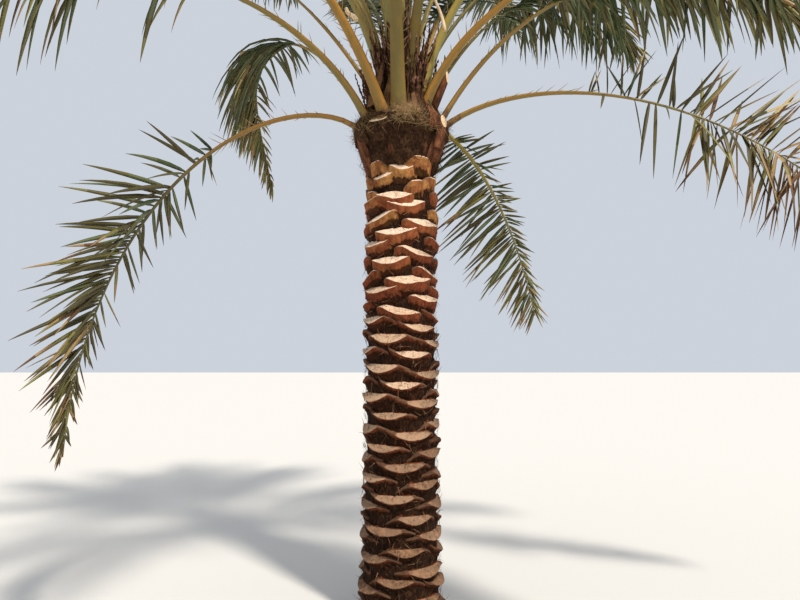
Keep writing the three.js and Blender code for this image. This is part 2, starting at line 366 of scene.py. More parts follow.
# Colour and roughness of the leaflets: the first seven from young to old, then two for special ones
leafTints = {
    "leafDeepGreen": ((48, 59, 28), 0.55), "leafGreen": ((72, 84, 42), 0.5),
    "leafGreyGreen": ((100, 106, 68), 0.55), "leafOlive": ((98, 90, 47), 0.55),
    "leafYellowGreen": ((134, 126, 68), 0.5), "leafTan": ((162, 132, 86), 0.7),
    "leafBrown": ((106, 74, 44), 0.8),
    # The dull olive is a darker copy of the olive, partly painted shade on leaflets that stand in shade
    "leafDullAndShaded": ((84, 76, 42), 0.65), "leafBleached": ((206, 182, 128), 0.75),
}
leafLooks = {name: makeLeaf(name, *row) for name, row in leafTints.items()}
leafNames = list(leafTints)
print("materials made")


# Meshes and Geometry Nodes

def addPiece(name, data, materials=()):
    piece = bpy.data.objects.new(name, data)
    bpy.context.scene.collection.objects.link(piece)
    for material in materials:
        data.materials.append(material)
    return piece


# Values belong to points, face values to faces, and slots say which of its materials each face has
def meshOf(name, points, faces=(), edges=(), values=None, faceValues=None, slots=None):
    mesh = bpy.data.meshes.new(name)
    mesh.from_pydata([tuple(point) for point in points], list(edges), list(faces))
    for group, domain in ((values or {}, "POINT"), (faceValues or {}, "FACE")):
        for label, numbers in group.items():
            numbers = np.asarray(numbers)
            if numbers.dtype.kind == "i":
                numbers = numbers.astype(np.int32)
            kind = "FLOAT_VECTOR" if numbers.ndim == 2 else "INT" if numbers.dtype.kind == "i" else "FLOAT"
            made = mesh.attributes.new(label, kind, domain)
            made.data.foreach_set("vector" if numbers.ndim == 2 else "value", numbers.ravel())
    if slots:
        mesh.polygons.foreach_set("material_index", slots)
    mesh.update()
    return mesh


def geometryNet(name, inputs):
    tree = bpy.data.node_groups.new(name, "GeometryNodeTree")
    tree.interface.new_socket("Geometry", in_out="INPUT", socket_type="NodeSocketGeometry")
    tree.interface.new_socket("Geometry", in_out="OUTPUT", socket_type="NodeSocketGeometry")
    for label, kind in inputs.items():
        tree.interface.new_socket(label, in_out="INPUT", socket_type="NodeSocket" + kind)
    net = Net(tree)
    net.given = net.node("NodeGroupInput")
    return net


# Ends a tree: realized, shaded smooth, and each material on the faces whose tone is its number
def finishTree(net, geometry, materials, tone=None):
    geometry = net.node("GeometryNodeRealizeInstances", {}, {"Geometry": geometry})["Geometry"]
    geometry = net.node("GeometryNodeSetShadeSmooth", {}, {"Geometry": geometry})["Geometry"]
    for number, material in enumerate(materials):
        sockets = {"Geometry": geometry, "Material": material}
        if tone is not None:
            sockets["Selection"] = net.node("FunctionNodeCompare", {"data_type": "INT", "operation": "EQUAL"},
                                            {"A": tone, "B": number})["Result"]
        geometry = net.node("GeometryNodeSetMaterial", {}, sockets)["Geometry"]
    net.node("NodeGroupOutput", {}, {"Geometry": geometry})
    return net


# What reaches below the ground is laid flat on it
def aboveGround(net, instances):
    geometry = net.node("GeometryNodeRealizeInstances", {}, {"Geometry": instances})["Geometry"]
    place = net.node("GeometryNodeInputPosition")["Position"]
    lifted = net.node("ShaderNodeVectorMath", {"operation": "MAXIMUM"}, {0: place, 1: (-9, -9, 0.0005)})[0]
    return net.node("GeometryNodeSetPosition", {}, {"Geometry": geometry, "Position": lifted})["Geometry"]


# Shapes that stay out of the scene, for trees to choose from
def shelfOf(name, meshes):
    shelf = bpy.data.collections.new(name)
    for number, mesh in enumerate(meshes):
        shelf.objects.link(bpy.data.objects.new(f"{name}{number:02d}", mesh))
    return shelf


# One of a shelf's shapes on every point
def placeShapes(net, points, shelf, sockets):
    shapes = net.node("GeometryNodeCollectionInfo", {}, {"Collection": shelf, "Separate Children": True})
    return net.node("GeometryNodeInstanceOnPoints", {}, {
        "Points": points, "Instance": shapes["Instances"], "Pick Instance": True, **sockets})["Instances"]


# Runs a tree on a mesh, and keeps what it makes as one plain mesh
def grow(name, base, net, values):
    piece = addPiece(name, base)
    modifier = piece.modifiers.new("grow", "NODES")
    modifier.node_group = net.tree
    for item in net.tree.interface.items_tree:
        if item.in_out == "INPUT" and item.name in values:
            modifier[item.identifier] = values[item.name]
    graph = bpy.context.evaluated_depsgraph_get()
    mesh = bpy.data.meshes.new_from_object(piece.evaluated_get(graph), depsgraph=graph)
    piece.modifiers.remove(modifier)
    piece.data = mesh
    mesh.name = name
    return piece


def settle(piece, slotName, *nodes):
    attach(piece, "root")
    if nodes:
        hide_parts(*nodes)
    print(piece.name, sum(len(face.vertices) - 2 for face in piece.data.polygons), "triangles")


def uneven(x, y, z):
    return noise.fractal(Vector((x, y, z)), 0.6, 2.0, 3)


# A place at an angle round the trunk
def around(angle, radius, height):
    return math.sin(angle) * radius, -math.cos(angle) * radius, height


# Faces between rings of points, each ring closed
def ringFaces(first, rings, sides):
    faces = []
    for start in range(first, first + rings * sides, sides):
        for side in range(sides):
            a, b = start + side, start + (side + 1) % sides
            faces.append((a, b, b + sides, a + sides))
    return faces


# Radius of a round CAD node at a height, read from its rings
def ringsOf(node):
    rings = {}
    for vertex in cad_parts[node].data.vertices:
        height = round(vertex.co.z, 4)
        rings[height] = max(rings.get(height, 0.0), math.hypot(vertex.co.x, vertex.co.y))
    return sorted(rings.items())


outline = ringsOf("trunk") + ringsOf("crown_foot") + ringsOf("heart")
outlineHeights = [height for height, radius in outline]
outlineRadii = [radius for height, radius in outline]


def outerRadius(height):
    return float(np.interp(height, outlineHeights, outlineRadii))


# A rounded patch of the outside, between two azimuths and two heights
def patchMesh(name, settings):
    steps, (low, high) = settings["steps"], settings["heights"]
    middle = sum(settings["azimuths"]) / 2
    half = settings["azimuths"][1] - middle
    points, faces = [], []
    for row in range(steps + 1):
        height = low + (high - low) * row / steps
        reach = half * math.sqrt(max(1 - (2 * row / steps - 1) ** 2, 0.04))
        for column in range(steps + 1):
            angle = math.radians(middle + reach * (2 * column / steps - 1))
            points.append(around(angle, outerRadius(height) + settings["outset"], height))
    for row in range(steps):
        for column in range(steps):
            a = row * (steps + 1) + column
            faces.append((a, a + 1, a + steps + 2, a + steps + 1))
    return meshOf(name, points, faces)


# An uneven round shell from one height to another, closed at both ends on the axis
def shellMesh(name, settings):
    low, high, rings, sides = [settings[label] for label in ("low", "high", "rings", "sides")]
    points = [(0, 0, low)]
    for ring in range(rings + 1):
        height = low + (high - low) * ring / rings
        for side in range(sides):
            angle = math.tau * side / sides
            radius = outerRadius(height) - settings["inset"]
            for size, depth in settings["lumps"]:
                x, y, z = around(angle, radius, height)
                radius += depth * uneven(x / size, y / size, z / size)
            points.append(around(angle, radius, height))
    points.append((0, 0, high))
    faces = ringFaces(1, rings, sides)
    for side in range(sides):
        nextSide = (side + 1) % sides
        faces.append((0, 1 + nextSide, 1 + side))
        faces.append((len(points) - 1, 1 + rings * sides + side, 1 + rings * sides + nextSide))
    mesh = meshOf(name, points, faces)
    mesh.shade_smooth()
    return mesh


# The trunk's fibrous core, behind the leaf bases. Its near-black colour is partly dark fibre and partly
# painted shade for the gaps between them

trunkCore = {"low": 0.0, "high": 2.72, "inset": 0.04, "rings": 150, "sides": 110,
             "lumps": ((0.05, 0.006), (0.015, 0.003))}
corePiece = addPiece("trunkCore", shellMesh("trunkCore", trunkCore), [looks["trunkCore"]])
settle(corePiece, "trunk_bark", "trunk")


# Cut leaf bases, wound up the trunk. One is modelled at azimuth 0 and at girth 1 metre, several ways

leafBase = {
    "seed": 7, "girth": 0.245, "columns": 36, "faceSteps": 5, "faceTop": 0.022, "rim": 0.011, "inside": 0.1,
    "wingFrom": 0.92, "lipBack": 0.008, "tipBack": 0.022, "waver": 0.003, "bodyLumps": (0.006, 0.004, 0.008),
    "count": 110, "rise": 0.0227, "turn": 137.0, "firstHeight": 0.083, "seenNumber": 78, "seenAzimuth": -3.2,
    "redAbove": 76, "lowestTall": 0.84, "fullAbove": 1.4,
    "jitters": {"rise": (-0.006, 0.006), "azimuth": (-3, 3), "width": (0.97, 1.02), "depth": (0.975, 1.015),
                "tall": (0.92, 1.06), "tilt": (-0.04, 0.04), "twist": (-0.035, 0.035), "tone": (0, 1)},
}

# The ages that a leaf base goes through, up the trunk. Old ones draw back at once under a pointed face, red
# ones have a body under it, fresh ones are golden and full, and an arch is rounded, its face out of sight
BaseAge = namedtuple("BaseAge", "shapes halfSpread faceShare faceOut faceDrop reach "
                                "edge taper drawn back fall crown")
baseAges = {
    "old": BaseAge(20, 50, .64, .036, .040, .10, .24, .5, .012, .026, 0, 0),
    "red": BaseAge(16, 41, .93, .038, .041, .12, .52, .3, .012, .03, .012, 0),
    "fresh": BaseAge(5, 35, .94, .036, .046, .13, .62, .3, .014, .03, .012, .004),
    "arch": BaseAge(6, 26, .5, .03, .004, .12, .62, .2, .012, .03, .016, .03),
}
firstShapes = dict(zip(baseAges, accumulate((age.shapes for age in baseAges.values()), initial=0)))

# The last ones under the crown stand where they like. Shape counts among those of its age
TopBase = namedtuple("TopBase", "azimuth height age shape width")
topBases = [TopBase(*row) for row in (
    (-10, 2.555, "fresh", 0, 1), (-62, 2.58, "arch", 0, .9), (63, 2.69, "arch", 1, 1.1),
    (25, 2.635, "arch", 2, .75), (-38, 2.705, "fresh", 1, .8), (4, 2.74, "fresh", 2, .8),
    (104, 2.60, "fresh", 3, 1), (150, 2.64, "arch", 3, 1), (-160, 2.60, "fresh", 4, 1),
    (-110, 2.65, "arch", 4, 1), (-84, 2.70, "arch", 5, .9), (98, 2.72, "arch", 0, 1),
    (168, 2.72, "fresh", 1, 1), (-142, 2.71, "arch", 1, 1), (36, 2.785, "arch", 3, 1.05),
    (-46, 2.775, "arch", 2, .75), (130, 2.75, "arch", 4, .9), (-108, 2.76, "arch", 5, .8),
    (-172, 2.77, "arch", 2, .9),
)]


# What tells one shape from the others of its age
def drawHabit(number, age, settings):
    random = np.random.default_rng(settings["seed"] + number)
    old = age.fall == 0
    peaked = number % 5 in ((1,) if old else (1, 3)) and age.crown == 0
    habit = SimpleNamespace(number=number, age=age, old=old)
    habit.halfSpread = math.radians(age.halfSpread * random.uniform(0.84 if old else 0.9, 1.06))
    habit.hand = random.choice([-1, 1])
    habit.peakAt = habit.hand * (random.uniform(0.25, 0.55) if peaked else random.uniform(0, 0.4))
    habit.slopes = random.uniform(0.02, 0.04, 2) if peaked else random.uniform(0.001, 0.014, 2)
    habit.thinSide = random.uniform(0.15, 0.4) if peaked else random.uniform(0.75, 1)
    habit.fullness = random.uniform(0.9, 1.7)
    habit.lean = random.uniform(-0.006, 0.006)
    if old:
        habit.curls = random.choice([-1, -1, 1], 2) * random.uniform(0.015, 0.06, 2)
    else:
        habit.curls = (-age.fall, -age.fall)
    habit.faceShare = age.faceShare * random.uniform(0.92, 1.04)
    habit.faceOut = age.faceOut * random.uniform(0.9, 1.1)
    habit.faceDrop = age.faceDrop * random.uniform(0.8, 1.15)
    habit.reach = age.reach * random.uniform(0.92, 1.08)
    return habit


# The rows of its body that go down from the lip, as radius, height and how deep under the lip, which the
# colour paints as shade
def bodyRows(across, habit, settings, lipRadius, lipHeight, under):
    number, age = habit.number, habit.age
    broad, fine, hollow = settings["bodyLumps"]
    edge = age.edge * (1 + 0.3 * uneven(across * 3 + number * 5, 1.5, number)
                       + 0.22 * uneven(across * 10, 3.5, number))
    edge *= 0.6 + 0.8 * across ** 2 if habit.old else 1
    rows = []
    for share in (0.1, edge * 0.6, edge, edge + 0.1, (edge + 1.2) / 2, 1.0):
        beyond = max((share - edge) / (1 - edge), 0)
        drawn = age.drawn + age.back * beyond ** 0.7 if beyond else age.drawn * share / edge
        radius = lipRadius - drawn + broad * uneven(across * 6, share * 3, number * 3.0)
        rough = min(share * 8, 1)
        radius += fine * uneven(across * 14, share * 8, number * 6.0) * rough
        radius -= hollow * max(uneven(across * 8, share * 1.2, number * 4.0) - 0.1, 0) * rough
        rows.append((radius, lipHeight - 0.006 - under * share, 1 if beyond else 0.5 * share / edge))
    return rows


# All its rows at one place across it, -1 to 1. The cut face is a thin lens, level or peaked, with a ragged
# rim behind it. Under the lip the body draws back
def rowsAcross(across, habit, settings):
    number, age, girth, waver = habit.number, habit.age, settings["girth"], settings["waver"]
    wingFrom = habit.faceShare * settings["wingFrom"]
    tip = max((abs(across) - wingFrom) / (1 - wingFrom), 0)
    thin = 1 - (1 - habit.thinSide) * min(max((across - habit.peakAt) * habit.hand / 0.25, 0), 1)
    lens = max(1 - (abs(across) / habit.faceShare) ** 2.0, 0.0) ** habit.fullness * thin
    top = settings["faceTop"] + habit.lean * across + waver * uneven(across * 4 + number * 7, 0.5, number)
    top -= habit.slopes[0] * max(habit.peakAt - across, 0) + habit.slopes[1] * max(across - habit.peakAt, 0)
    top += habit.curls[int(across > 0)] * tip ** 1.5 - age.crown * across ** 2
    rim = 0
    if habit.old:
        rim = settings["rim"] * max(uneven(across * 5 + number * 3, 2.5, number) + 0.4, 0) * (1 - tip)
    lipRadius = girth - settings["lipBack"] * across ** 2 - settings["tipBack"] * tip ** 1.5
    lipRadius += waver * uneven(across * 3, number * 2.0, 4)
    lipHeight = top - 0.003 - habit.faceDrop * lens
    inner = min(girth - habit.faceOut * (1 - 0.62 * abs(across) ** 1.6), lipRadius - 0.004)
    inside = girth - settings["inside"]
    rows = [(inside, top - 0.006, 0), (inner - 0.01, top + rim * 0.5, 0.1), (inner - 0.004, top + rim, 0.1),
            (inner, top, 0)]
    for step in range(1, settings["faceSteps"] + 1):
        share = step / settings["faceSteps"]
        dip = -0.003 * math.sin(math.pi * share) + 0.002 * uneven(across * 9, share * 3, number * 5.0)
        rows.append((inner + (lipRadius - inner) * share, top + (lipHeight - top) * share + dip * lens, 0))
    rows.append((lipRadius + 0.001, lipHeight - 0.003 - 0.002 * lens, 0))
    under = (lipHeight - 0.005 - (top - habit.reach)) * (1 - age.taper * abs(across) ** 3)
    rows += bodyRows(across, habit, settings, lipRadius, lipHeight, under)
    rows.append((inside, lipHeight - 0.005 - under * 0.9, 1))
    return rows


def leafBaseShape(number, age, settings):
    habit = drawHabit(number, age, settings)
    columns = settings["columns"]
    points, low, wing = [], [], []
    for column in range(columns + 1):
        across = -1 + 2 * column / columns
        rows = rowsAcross(across, habit, settings)
        points += [around(across * habit.halfSpread, radius, height) for radius, height, depth in rows]
        # low: how deep each point lies under the lip, painted as shade by the body's colour
        low += [depth for radius, height, depth in rows]
        wing += [min(abs(across) / habit.faceShare, 1)] * len(rows)
    size = len(rows)
    faces = ringFaces(0, columns, size)
    faces.append(tuple(range(size - 1, -1, -1)))
    faces.append(tuple(columns * size + place for place in range(size)))
    cutRows = range(3, 4 + settings["faceSteps"])
    parts = [int(place in cutRows) for place in range(size)] * columns + [0, 0]
    return meshOf("leafBaseShape", points, faces,
                  values={"low": low, "wing": wing}, faceValues={"part": parts})


# A spiral of points up the axis, and the given ones above it. Each gets a base at its azimuth, on the wall
def leafBaseTree(settings):
    net = geometryNet("leafBaseSpiral", {
        "Shapes": "Collection", "Trunk": "Object", "Crown foot": "Object", "Count": "Int", "Rise": "Float",
        "Turn": "Float", "First height": "Float", "First azimuth": "Float", "Shape girth": "Float",
        "Seed": "Int", "Highest": "Vector", "Red above": "Int", "Old shapes": "Int", "Red shapes": "Int"})
    given = net.given

    def jitter(name, number):
        return net.draw(*settings["jitters"][name], given["Seed"] + number)

    index = net.node("GeometryNodeInputIndex")["Index"]
    line = net.node("GeometryNodeMeshLine", {}, {"Count": given["Count"], "Offset": (0, 0, 0)})["Mesh"]
    spot = net.combine(z=given["First height"] + index * given["Rise"] + jitter("rise", 1))
    line = net.node("GeometryNodeSetPosition", {}, {"Geometry": line, "Position": spot})["Geometry"]
    line = net.store(line, "azimuth", given["First azimuth"] + index * given["Turn"])
    line = net.store(line, "width", 1.0)
    red = index > given["Red above"]
    line = net.store(line, "shape", (1 - red) * net.maths("MODULO", index * 5, given["Old shapes"])
                     + red * (given["Old shapes"] + net.maths("MODULO", index * 5, given["Red shapes"])))
    line = net.join(line, given["Geometry"])
    line = net.store(line, "tone", jitter("tone", 8))
    place = net.node("GeometryNodeInputPosition")["Position"]
    height = net.node("ShaderNodeSeparateXYZ", {}, {0: place})["Z"]
    azimuth = (net.attribute("azimuth") + jitter("azimuth", 2)) * (math.pi / 180)
    away = net.combine(net.node("ShaderNodeMath", {"operation": "SINE"}, {0: azimuth})[0],
                       -1 * net.node("ShaderNodeMath", {"operation": "COSINE"}, {0: azimuth})[0])
    walls = net.join(*[net.node("GeometryNodeObjectInfo", {}, {"Object": given[label]})["Geometry"]
                       for label in ("Trunk", "Crown foot")])
    within = net.node("ShaderNodeVectorMath", {"operation": "MINIMUM"}, {0: place, 1: given["Highest"]})[0]

    def wallAt(source):
        return net.node("GeometryNodeRaycast", {}, {"Target Geometry": walls, "Source Position": source,
                                                    "Ray Direction": away, "Ray Length": 1.0})["Hit Distance"]

    # A second look a little lower, for one that passes through the joint between trunk and crown
    girth = net.maths("MINIMUM", wallAt(within), wallAt(within - (0, 0, 0.005))) / given["Shape girth"]
    tall = net.node("ShaderNodeMapRange", {}, {
        "Value": height, "From Min": 0.0, "From Max": settings["fullAbove"],
        "To Min": settings["lowestTall"], "To Max": 1.0})[0]
    placed = placeShapes(net, line, given["Shapes"], {
        "Instance Index": net.attribute("shape") + 0.5,
        "Rotation": net.combine(jitter("tilt", 6), jitter("twist", 7), azimuth),
        "Scale": net.combine(girth * jitter("width", 3) * net.attribute("width"),
                             girth * jitter("depth", 4), jitter("tall", 5) * tall)})
    return finishTree(net, aboveGround(net, placed), [looks["leafBase"], looks["cutFace"]],
                      net.attribute("part", "INT"))


shapeAges = sum([[age] * age.shapes for age in baseAges.values()], [])
topSpots = meshOf("leafBases", [(0, 0, base.height) for base in topBases], values={
    "azimuth": [float(base.azimuth) for base in topBases], "width": [float(base.width) for base in topBases],
    "shape": [float(firstShapes[base.age] + base.shape) for base in topBases]})
basesPiece = grow("leafBases", topSpots, leafBaseTree(leafBase), {
    "Shapes": shelfOf("leafBaseShapes", [
        leafBaseShape(number, age, leafBase) for number, age in enumerate(shapeAges)]),
    "Trunk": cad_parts["trunk"], "Crown foot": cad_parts["crown_foot"],
    "Count": leafBase["count"], "Rise": leafBase["rise"], "Turn": leafBase["turn"],
    "First height": leafBase["firstHeight"],
    "First azimuth": leafBase["seenAzimuth"] - leafBase["seenNumber"] * leafBase["turn"],
    "Shape girth": leafBase["girth"], "Seed": leafBase["seed"], "Red above": leafBase["redAbove"],
    "Highest": (0, 0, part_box("crown_foot")[1].z - 0.005),
    "Old shapes": baseAges["old"].shapes, "Red shapes": baseAges["red"].shapes})
settle(basesPiece, "trunk_bark", "trunk")
print("trunk made")


# Bristles: thin curved strands that lie on a surface, mostly up and down it

hairStrand = {"count": 8, "seed": 40, "length": 0.07, "thickness": 0.0011, "steps": 4, "sides": 3}
tornStrand = {**hairStrand, "seed": 60, "length": 0.075, "thickness": 0.0026}


def strandShape(number, settings):
    random = np.random.default_rng(settings["seed"] + number)
    bend = random.uniform(-0.5, 0.5, 2)
    length, steps, sides = settings["length"], settings["steps"], settings["sides"]
    points = []
    for step in range(steps + 1):
        share = step / steps
        aside = bend[0] * length * share ** 2
        raised = 0.002 + 0.25 * length * abs(bend[1]) * share ** 1.5
        width = settings["thickness"] * (1 - 0.8 * share)
        for corner in range(sides):
            angle = math.tau * corner / sides
            points.append((length * share, aside + width * math.cos(angle), raised + width * math.sin(angle)))
    faces = ringFaces(0, steps, sides)
    faces.append(tuple(range(sides - 1, -1, -1)))
    faces.append(tuple(steps * sides + corner for corner in range(sides)))
    return meshOf("strand", points, faces)


def bristleTree(name, material):
    net = geometryNet(name, {"Strands": "Collection", "Density": "Float", "Spread": "Float", "Seed": "Int",
                             "Smallest": "Float", "Largest": "Float"})
    given = net.given
    spots = net.node("GeometryNodeDistributePointsOnFaces", {}, {
        "Mesh": given["Geometry"], "Density": given["Density"], "Seed": given["Seed"]})
    upright = net.node("FunctionNodeAlignRotationToVector", {"axis": "X", "pivot_axis": "Z"},
                       {"Rotation": spots["Rotation"], "Vector": (0, 0, 1)})["Rotation"]
    swing = net.combine(y=net.draw(-0.35, 0.05, given["Seed"] + 2),
                        z=net.draw(-1, 1, given["Seed"] + 1) * given["Spread"])
    swing = net.node("FunctionNodeEulerToRotation", {}, {"Euler": swing})["Rotation"]
    laid = net.node("FunctionNodeRotateRotation", {"rotation_space": "LOCAL"},
                    {"Rotation": upright, "Rotate By": swing})["Rotation"]
    size = net.draw(given["Smallest"], given["Largest"], given["Seed"] + 3)
    placed = placeShapes(net, spots["Points"], given["Strands"], {
        "Rotation": laid, "Scale": net.combine(size, size, size)})
    return finishTree(net, aboveGround(net, placed), [material])


def growBristles(name, surface, shelf, material, settings):
    return grow(name, surface, bristleTree(name, material), {
        "Strands": shelf, "Density": settings["density"], "Spread": settings["spread"],
        "Seed": settings["seed"], "Smallest": settings["smallest"], "Largest": settings["largest"]})


def strandShelf(name, settings):
    return shelfOf(name, [strandShape(number, settings) for number in range(settings["count"])])


hairStrands = strandShelf("hairStrands", hairStrand)
trunkHair = {"low": 0.0, "high": 2.72, "inset": 0.026, "rings": 60, "sides": 60, "lumps": ((0.1, 0.01),),
             "density": 1100, "spread": 1.4, "seed": 3, "smallest": 0.35, "largest": 0.9}
hairPiece = growBristles("trunkFibres", shellMesh("trunkFibres", trunkHair),
                         hairStrands, looks["trunkHair"], trunkHair)
settle(hairPiece, "trunk_bark", "trunk")

# Torn edges of the old sheaths: thin pale strips that wander across the gaps, further out than the hairs
tornEdges = {"low": 0.06, "high": 2.5, "inset": 0.017, "rings": 60, "sides": 60, "lumps": ((0.1, 0.008),),
             "density": 80, "spread": 3.1, "seed": 9, "smallest": 0.5, "largest": 1.1}
tornPiece = growBristles("tornEdges", shellMesh("tornEdges", tornEdges),
                         strandShelf("tornStrands", tornStrand), looks["tornEdge"], tornEdges)
settle(tornPiece, "trunk_bark", "trunk")


# Crown foot and heart: matted fibre that wraps the feet of the stalks

crownWrap = {"low": 2.70, "high": 3.09, "inset": 0.012, "rings": 60, "sides": 150,
             "lumps": ((0.11, 0.012), (0.03, 0.008), (0.011, 0.004)), "tuck": 0.22, "tuckHeight": 0.1}
wrapMesh = shellMesh("crownWrap", crownWrap)
for vertex in wrapMesh.vertices:
    tucked = max(1 - (vertex.co.z - crownWrap["low"]) / crownWrap["tuckHeight"], 0) ** 1.5
    vertex.co.x *= 1 - crownWrap["tuck"] * tucked
    vertex.co.y *= 1 - crownWrap["tuck"] * tucked
settle(addPiece("crownWrap", wrapMesh, [looks["crownFibre"]]), "crown_fibre", "crown_foot")

heartFibre = {"low": 3.04, "high": 3.62, "inset": -0.006, "rings": 60, "sides": 110,
              "lumps": ((0.09, 0.022), (0.03, 0.01), (0.01, 0.004))}
heartMesh = shellMesh("heartFibre", heartFibre)
settle(addPiece("heartFibre", heartMesh, [looks["crownFibre"]]), "crown_fibre", "heart")

crownHair = {"density": 3000, "spread": 3.1, "seed": 11, "smallest": 0.5, "largest": 1.3}
fringe = {"low": 2.985, "high": 3.085, "inset": -0.004, "rings": 8, "sides": 90, "lumps": ((0.06, 0.012),),
          "density": 3200, "spread": 3.1, "seed": 23, "smallest": 0.5, "largest": 1.5}
tangle = {"azimuths": (-7, 20), "heights": (3.02, 3.12), "outset": 0.02, "steps": 12,
          "density": 26000, "spread": 3.1, "seed": 31, "smallest": 0.5, "largest": 1.1}
for name, surface, look, settings, node in (
        ("crownHair", wrapMesh.copy(), "brownHair", crownHair, "crown_foot"),
        ("heartHair", heartMesh.copy(), "brownHair", crownHair, "heart"),
        ("strawFringe", shellMesh("fringe", fringe), "strawHair", fringe, "crown_foot"),
        ("strawTangle", patchMesh("tangle", tangle), "paleStraw", tangle, "crown_foot")):
    settle(growBristles(name, surface, hairStrands, looks[look], settings), "crown_fibre", node)


# Sheaths: thin curved sheets round the crown, which narrow upwards and end ragged in an arch. How much one is
# torn goes by its look, which is a place among the looks

sheathing = {"columns": 24, "rows": 9, "thickness": 0.004, "arch": 0.3, "edgeIn": 0.012, "footIn": 0.03,
             "waves": 0.006, "tearing": (0.2, 0.8, 0.8), "looks": ("redSheath", "sheathWeave", "tanWeave")}
Sheath = namedtuple("Sheath", "azimuth span low high out narrowing ragged look")
sheaths = [Sheath(*row) for row in (
    (50, 20, 2.74, 2.98, .002, .3, .10, 0), (-72, 44, 2.70, 3.00, .004, .25, .05, 0),
    (36, 9, 2.78, 2.93, -.002, .4, .08, 0), (-15, 12, 2.79, 2.90, -.004, .4, .05, 0),
    (126, 40, 2.66, 2.92, .002, .35, .05, 0), (-158, 40, 2.68, 2.94, .003, .35, .05, 0),
    (70, 34, 2.78, 3.02, .004, .3, .06, 0),
    (-32, 34, 2.96, 3.28, .014, .35, .16, 1), (12, 26, 2.98, 3.36, .022, .3, .2, 1),
    (32, 30, 2.96, 3.34, .02, .3, .18, 1), (-14, 22, 2.98, 3.36, .012, .3, .14, 1),
    (-66, 36, 2.90, 3.22, .02, .3, .16, 1), (66, 38, 2.92, 3.26, .024, .3, .18, 1),
    (98, 36, 2.94, 3.24, .02, .3, .16, 1), (135, 40, 2.94, 3.28, .02, .3, .18, 1),
    (172, 40, 2.94, 3.26, .02, .3, .16, 1), (-150, 38, 2.94, 3.28, .02, .3, .18, 1),
    (-108, 38, 2.92, 3.24, .02, .3, .16, 1),
    (-23, 15, 3.00, 3.46, .035, .3, .12, 2), (20, 13, 3.00, 3.38, .03, .4, .14, 2),
    (80, 16, 3.00, 3.34, .03, .3, .12, 2), (156, 18, 3.00, 3.36, .03, .3, .12, 2),
    (-126, 18, 3.00, 3.36, .03, .3, .12, 2), (-38, 22, 3.12, 3.48, .085, .5, .10, 2),
    (44, 24, 2.98, 3.21, .035, .3, .14, 0),
)]


def sheathMesh(settings):
    columns, rows = settings["columns"], settings["rows"]
    points, faces, slots = [], [], []
    for number, sheath in enumerate(sheaths):
        first = len(points)
        for layer in (0, 1):
            for row in range(rows + 1):
                for column in range(columns + 1):
                    across = -1 + 2 * column / columns
                    torn = uneven(across * 3, number * 3.0, 1)
                    torn += settings["tearing"][sheath.look] * uneven(across * 11, number * 3.0, 5)
                    top = sheath.high - sheath.ragged * (0.5 + torn)
                    top -= settings["arch"] * (sheath.high - sheath.low) * across ** 4
                    share = row / rows
                    height = sheath.low + (top - sheath.low) * share
                    half = sheath.span / 2 * (1 - sheath.narrowing * share)
                    angle = math.radians(sheath.azimuth + across * half)
                    radius = outerRadius(min(height, 3.5)) + sheath.out
                    radius -= settings["edgeIn"] * abs(across) ** 3 + settings["thickness"] * layer
                    radius += settings["waves"] * uneven(across * 2, share * 2, number * 2.0)
                    radius -= settings["footIn"] * (1 - share) ** 4
                    points.append(around(angle, radius, height))
        size = (columns + 1) * (rows + 1)
        grid = [[first + row * (columns + 1) + column for column in range(columns + 1)]
                for row in range(rows + 1)]
        for row in range(rows):
            for column in range(columns):
                a, b = grid[row][column], grid[row][column + 1]
                c, d = grid[row + 1][column + 1], grid[row + 1][column]
                faces += [(a, b, c, d), (d + size, c + size, b + size, a + size)]
        rim = grid[0] + [line[-1] for line in grid[1:]]
        rim += grid[-1][-2::-1] + [line[0] for line in grid[-2:0:-1]]
        for a, b in zip(rim, rim[1:] + rim[:1]):
            faces.append((b, a, a + size, b + size))
        slots += [sheath.look] * (len(faces) - len(slots))
    mesh = meshOf("sheaths", points, faces, slots=slots)
    mesh.shade_smooth()
    return mesh


sheathPiece = addPiece("sheaths", sheathMesh(sheathing), [looks[name] for name in sheathing["looks"]])
settle(sheathPiece, "crown_fibre", "crown_foot")


# The mesh's edges as curves
def curvesOf(net):
    return net.node("GeometryNodeMeshToCurve", {}, {"Mesh": net.given["Geometry"]})["Curve"]


def roundProfile(net):
    return net.node("GeometryNodeCurvePrimitiveCircle", {}, {
        "Resolution": net.given["Sides"], "Radius": 1.0})["Curve"]


# A profile swept along curves, as wide as their points' "half" says
def sweep(net, curves, profile):
    return net.node("GeometryNodeCurveToMesh", {}, {
        "Curve": curves, "Profile Curve": profile, "Scale": net.attribute("half"), "Fill Caps": True})["Mesh"]


# A round section swept along lines, each in the material that its points' "look" says
def sweepTree(name, materials):
    net = geometryNet(name, {"Sides": "Int"})
    swept = sweep(net, curvesOf(net), roundProfile(net))
    return finishTree(net, swept, materials, net.attribute("look", "INT"))


# Paths is one array of points for each line, all equally long. Kinds are the places of their looks
def lineMesh(name, paths, halves, kinds, ups=None):
    paths = np.asarray(paths)
    count, stations = paths.shape[:2]
    ends = np.arange(count * stations).reshape(count, stations)
    edges = np.stack([ends[:, :-1].ravel(), ends[:, 1:].ravel()], axis=1)
    values = {"half": np.asarray(halves).ravel(), "look": np.asarray(kinds).ravel()}
    if ups is not None:
        values["up"] = np.asarray(ups).reshape(-1, 3)
    return meshOf(name, paths.reshape(-1, 3), edges=edges.tolist(), values=values)


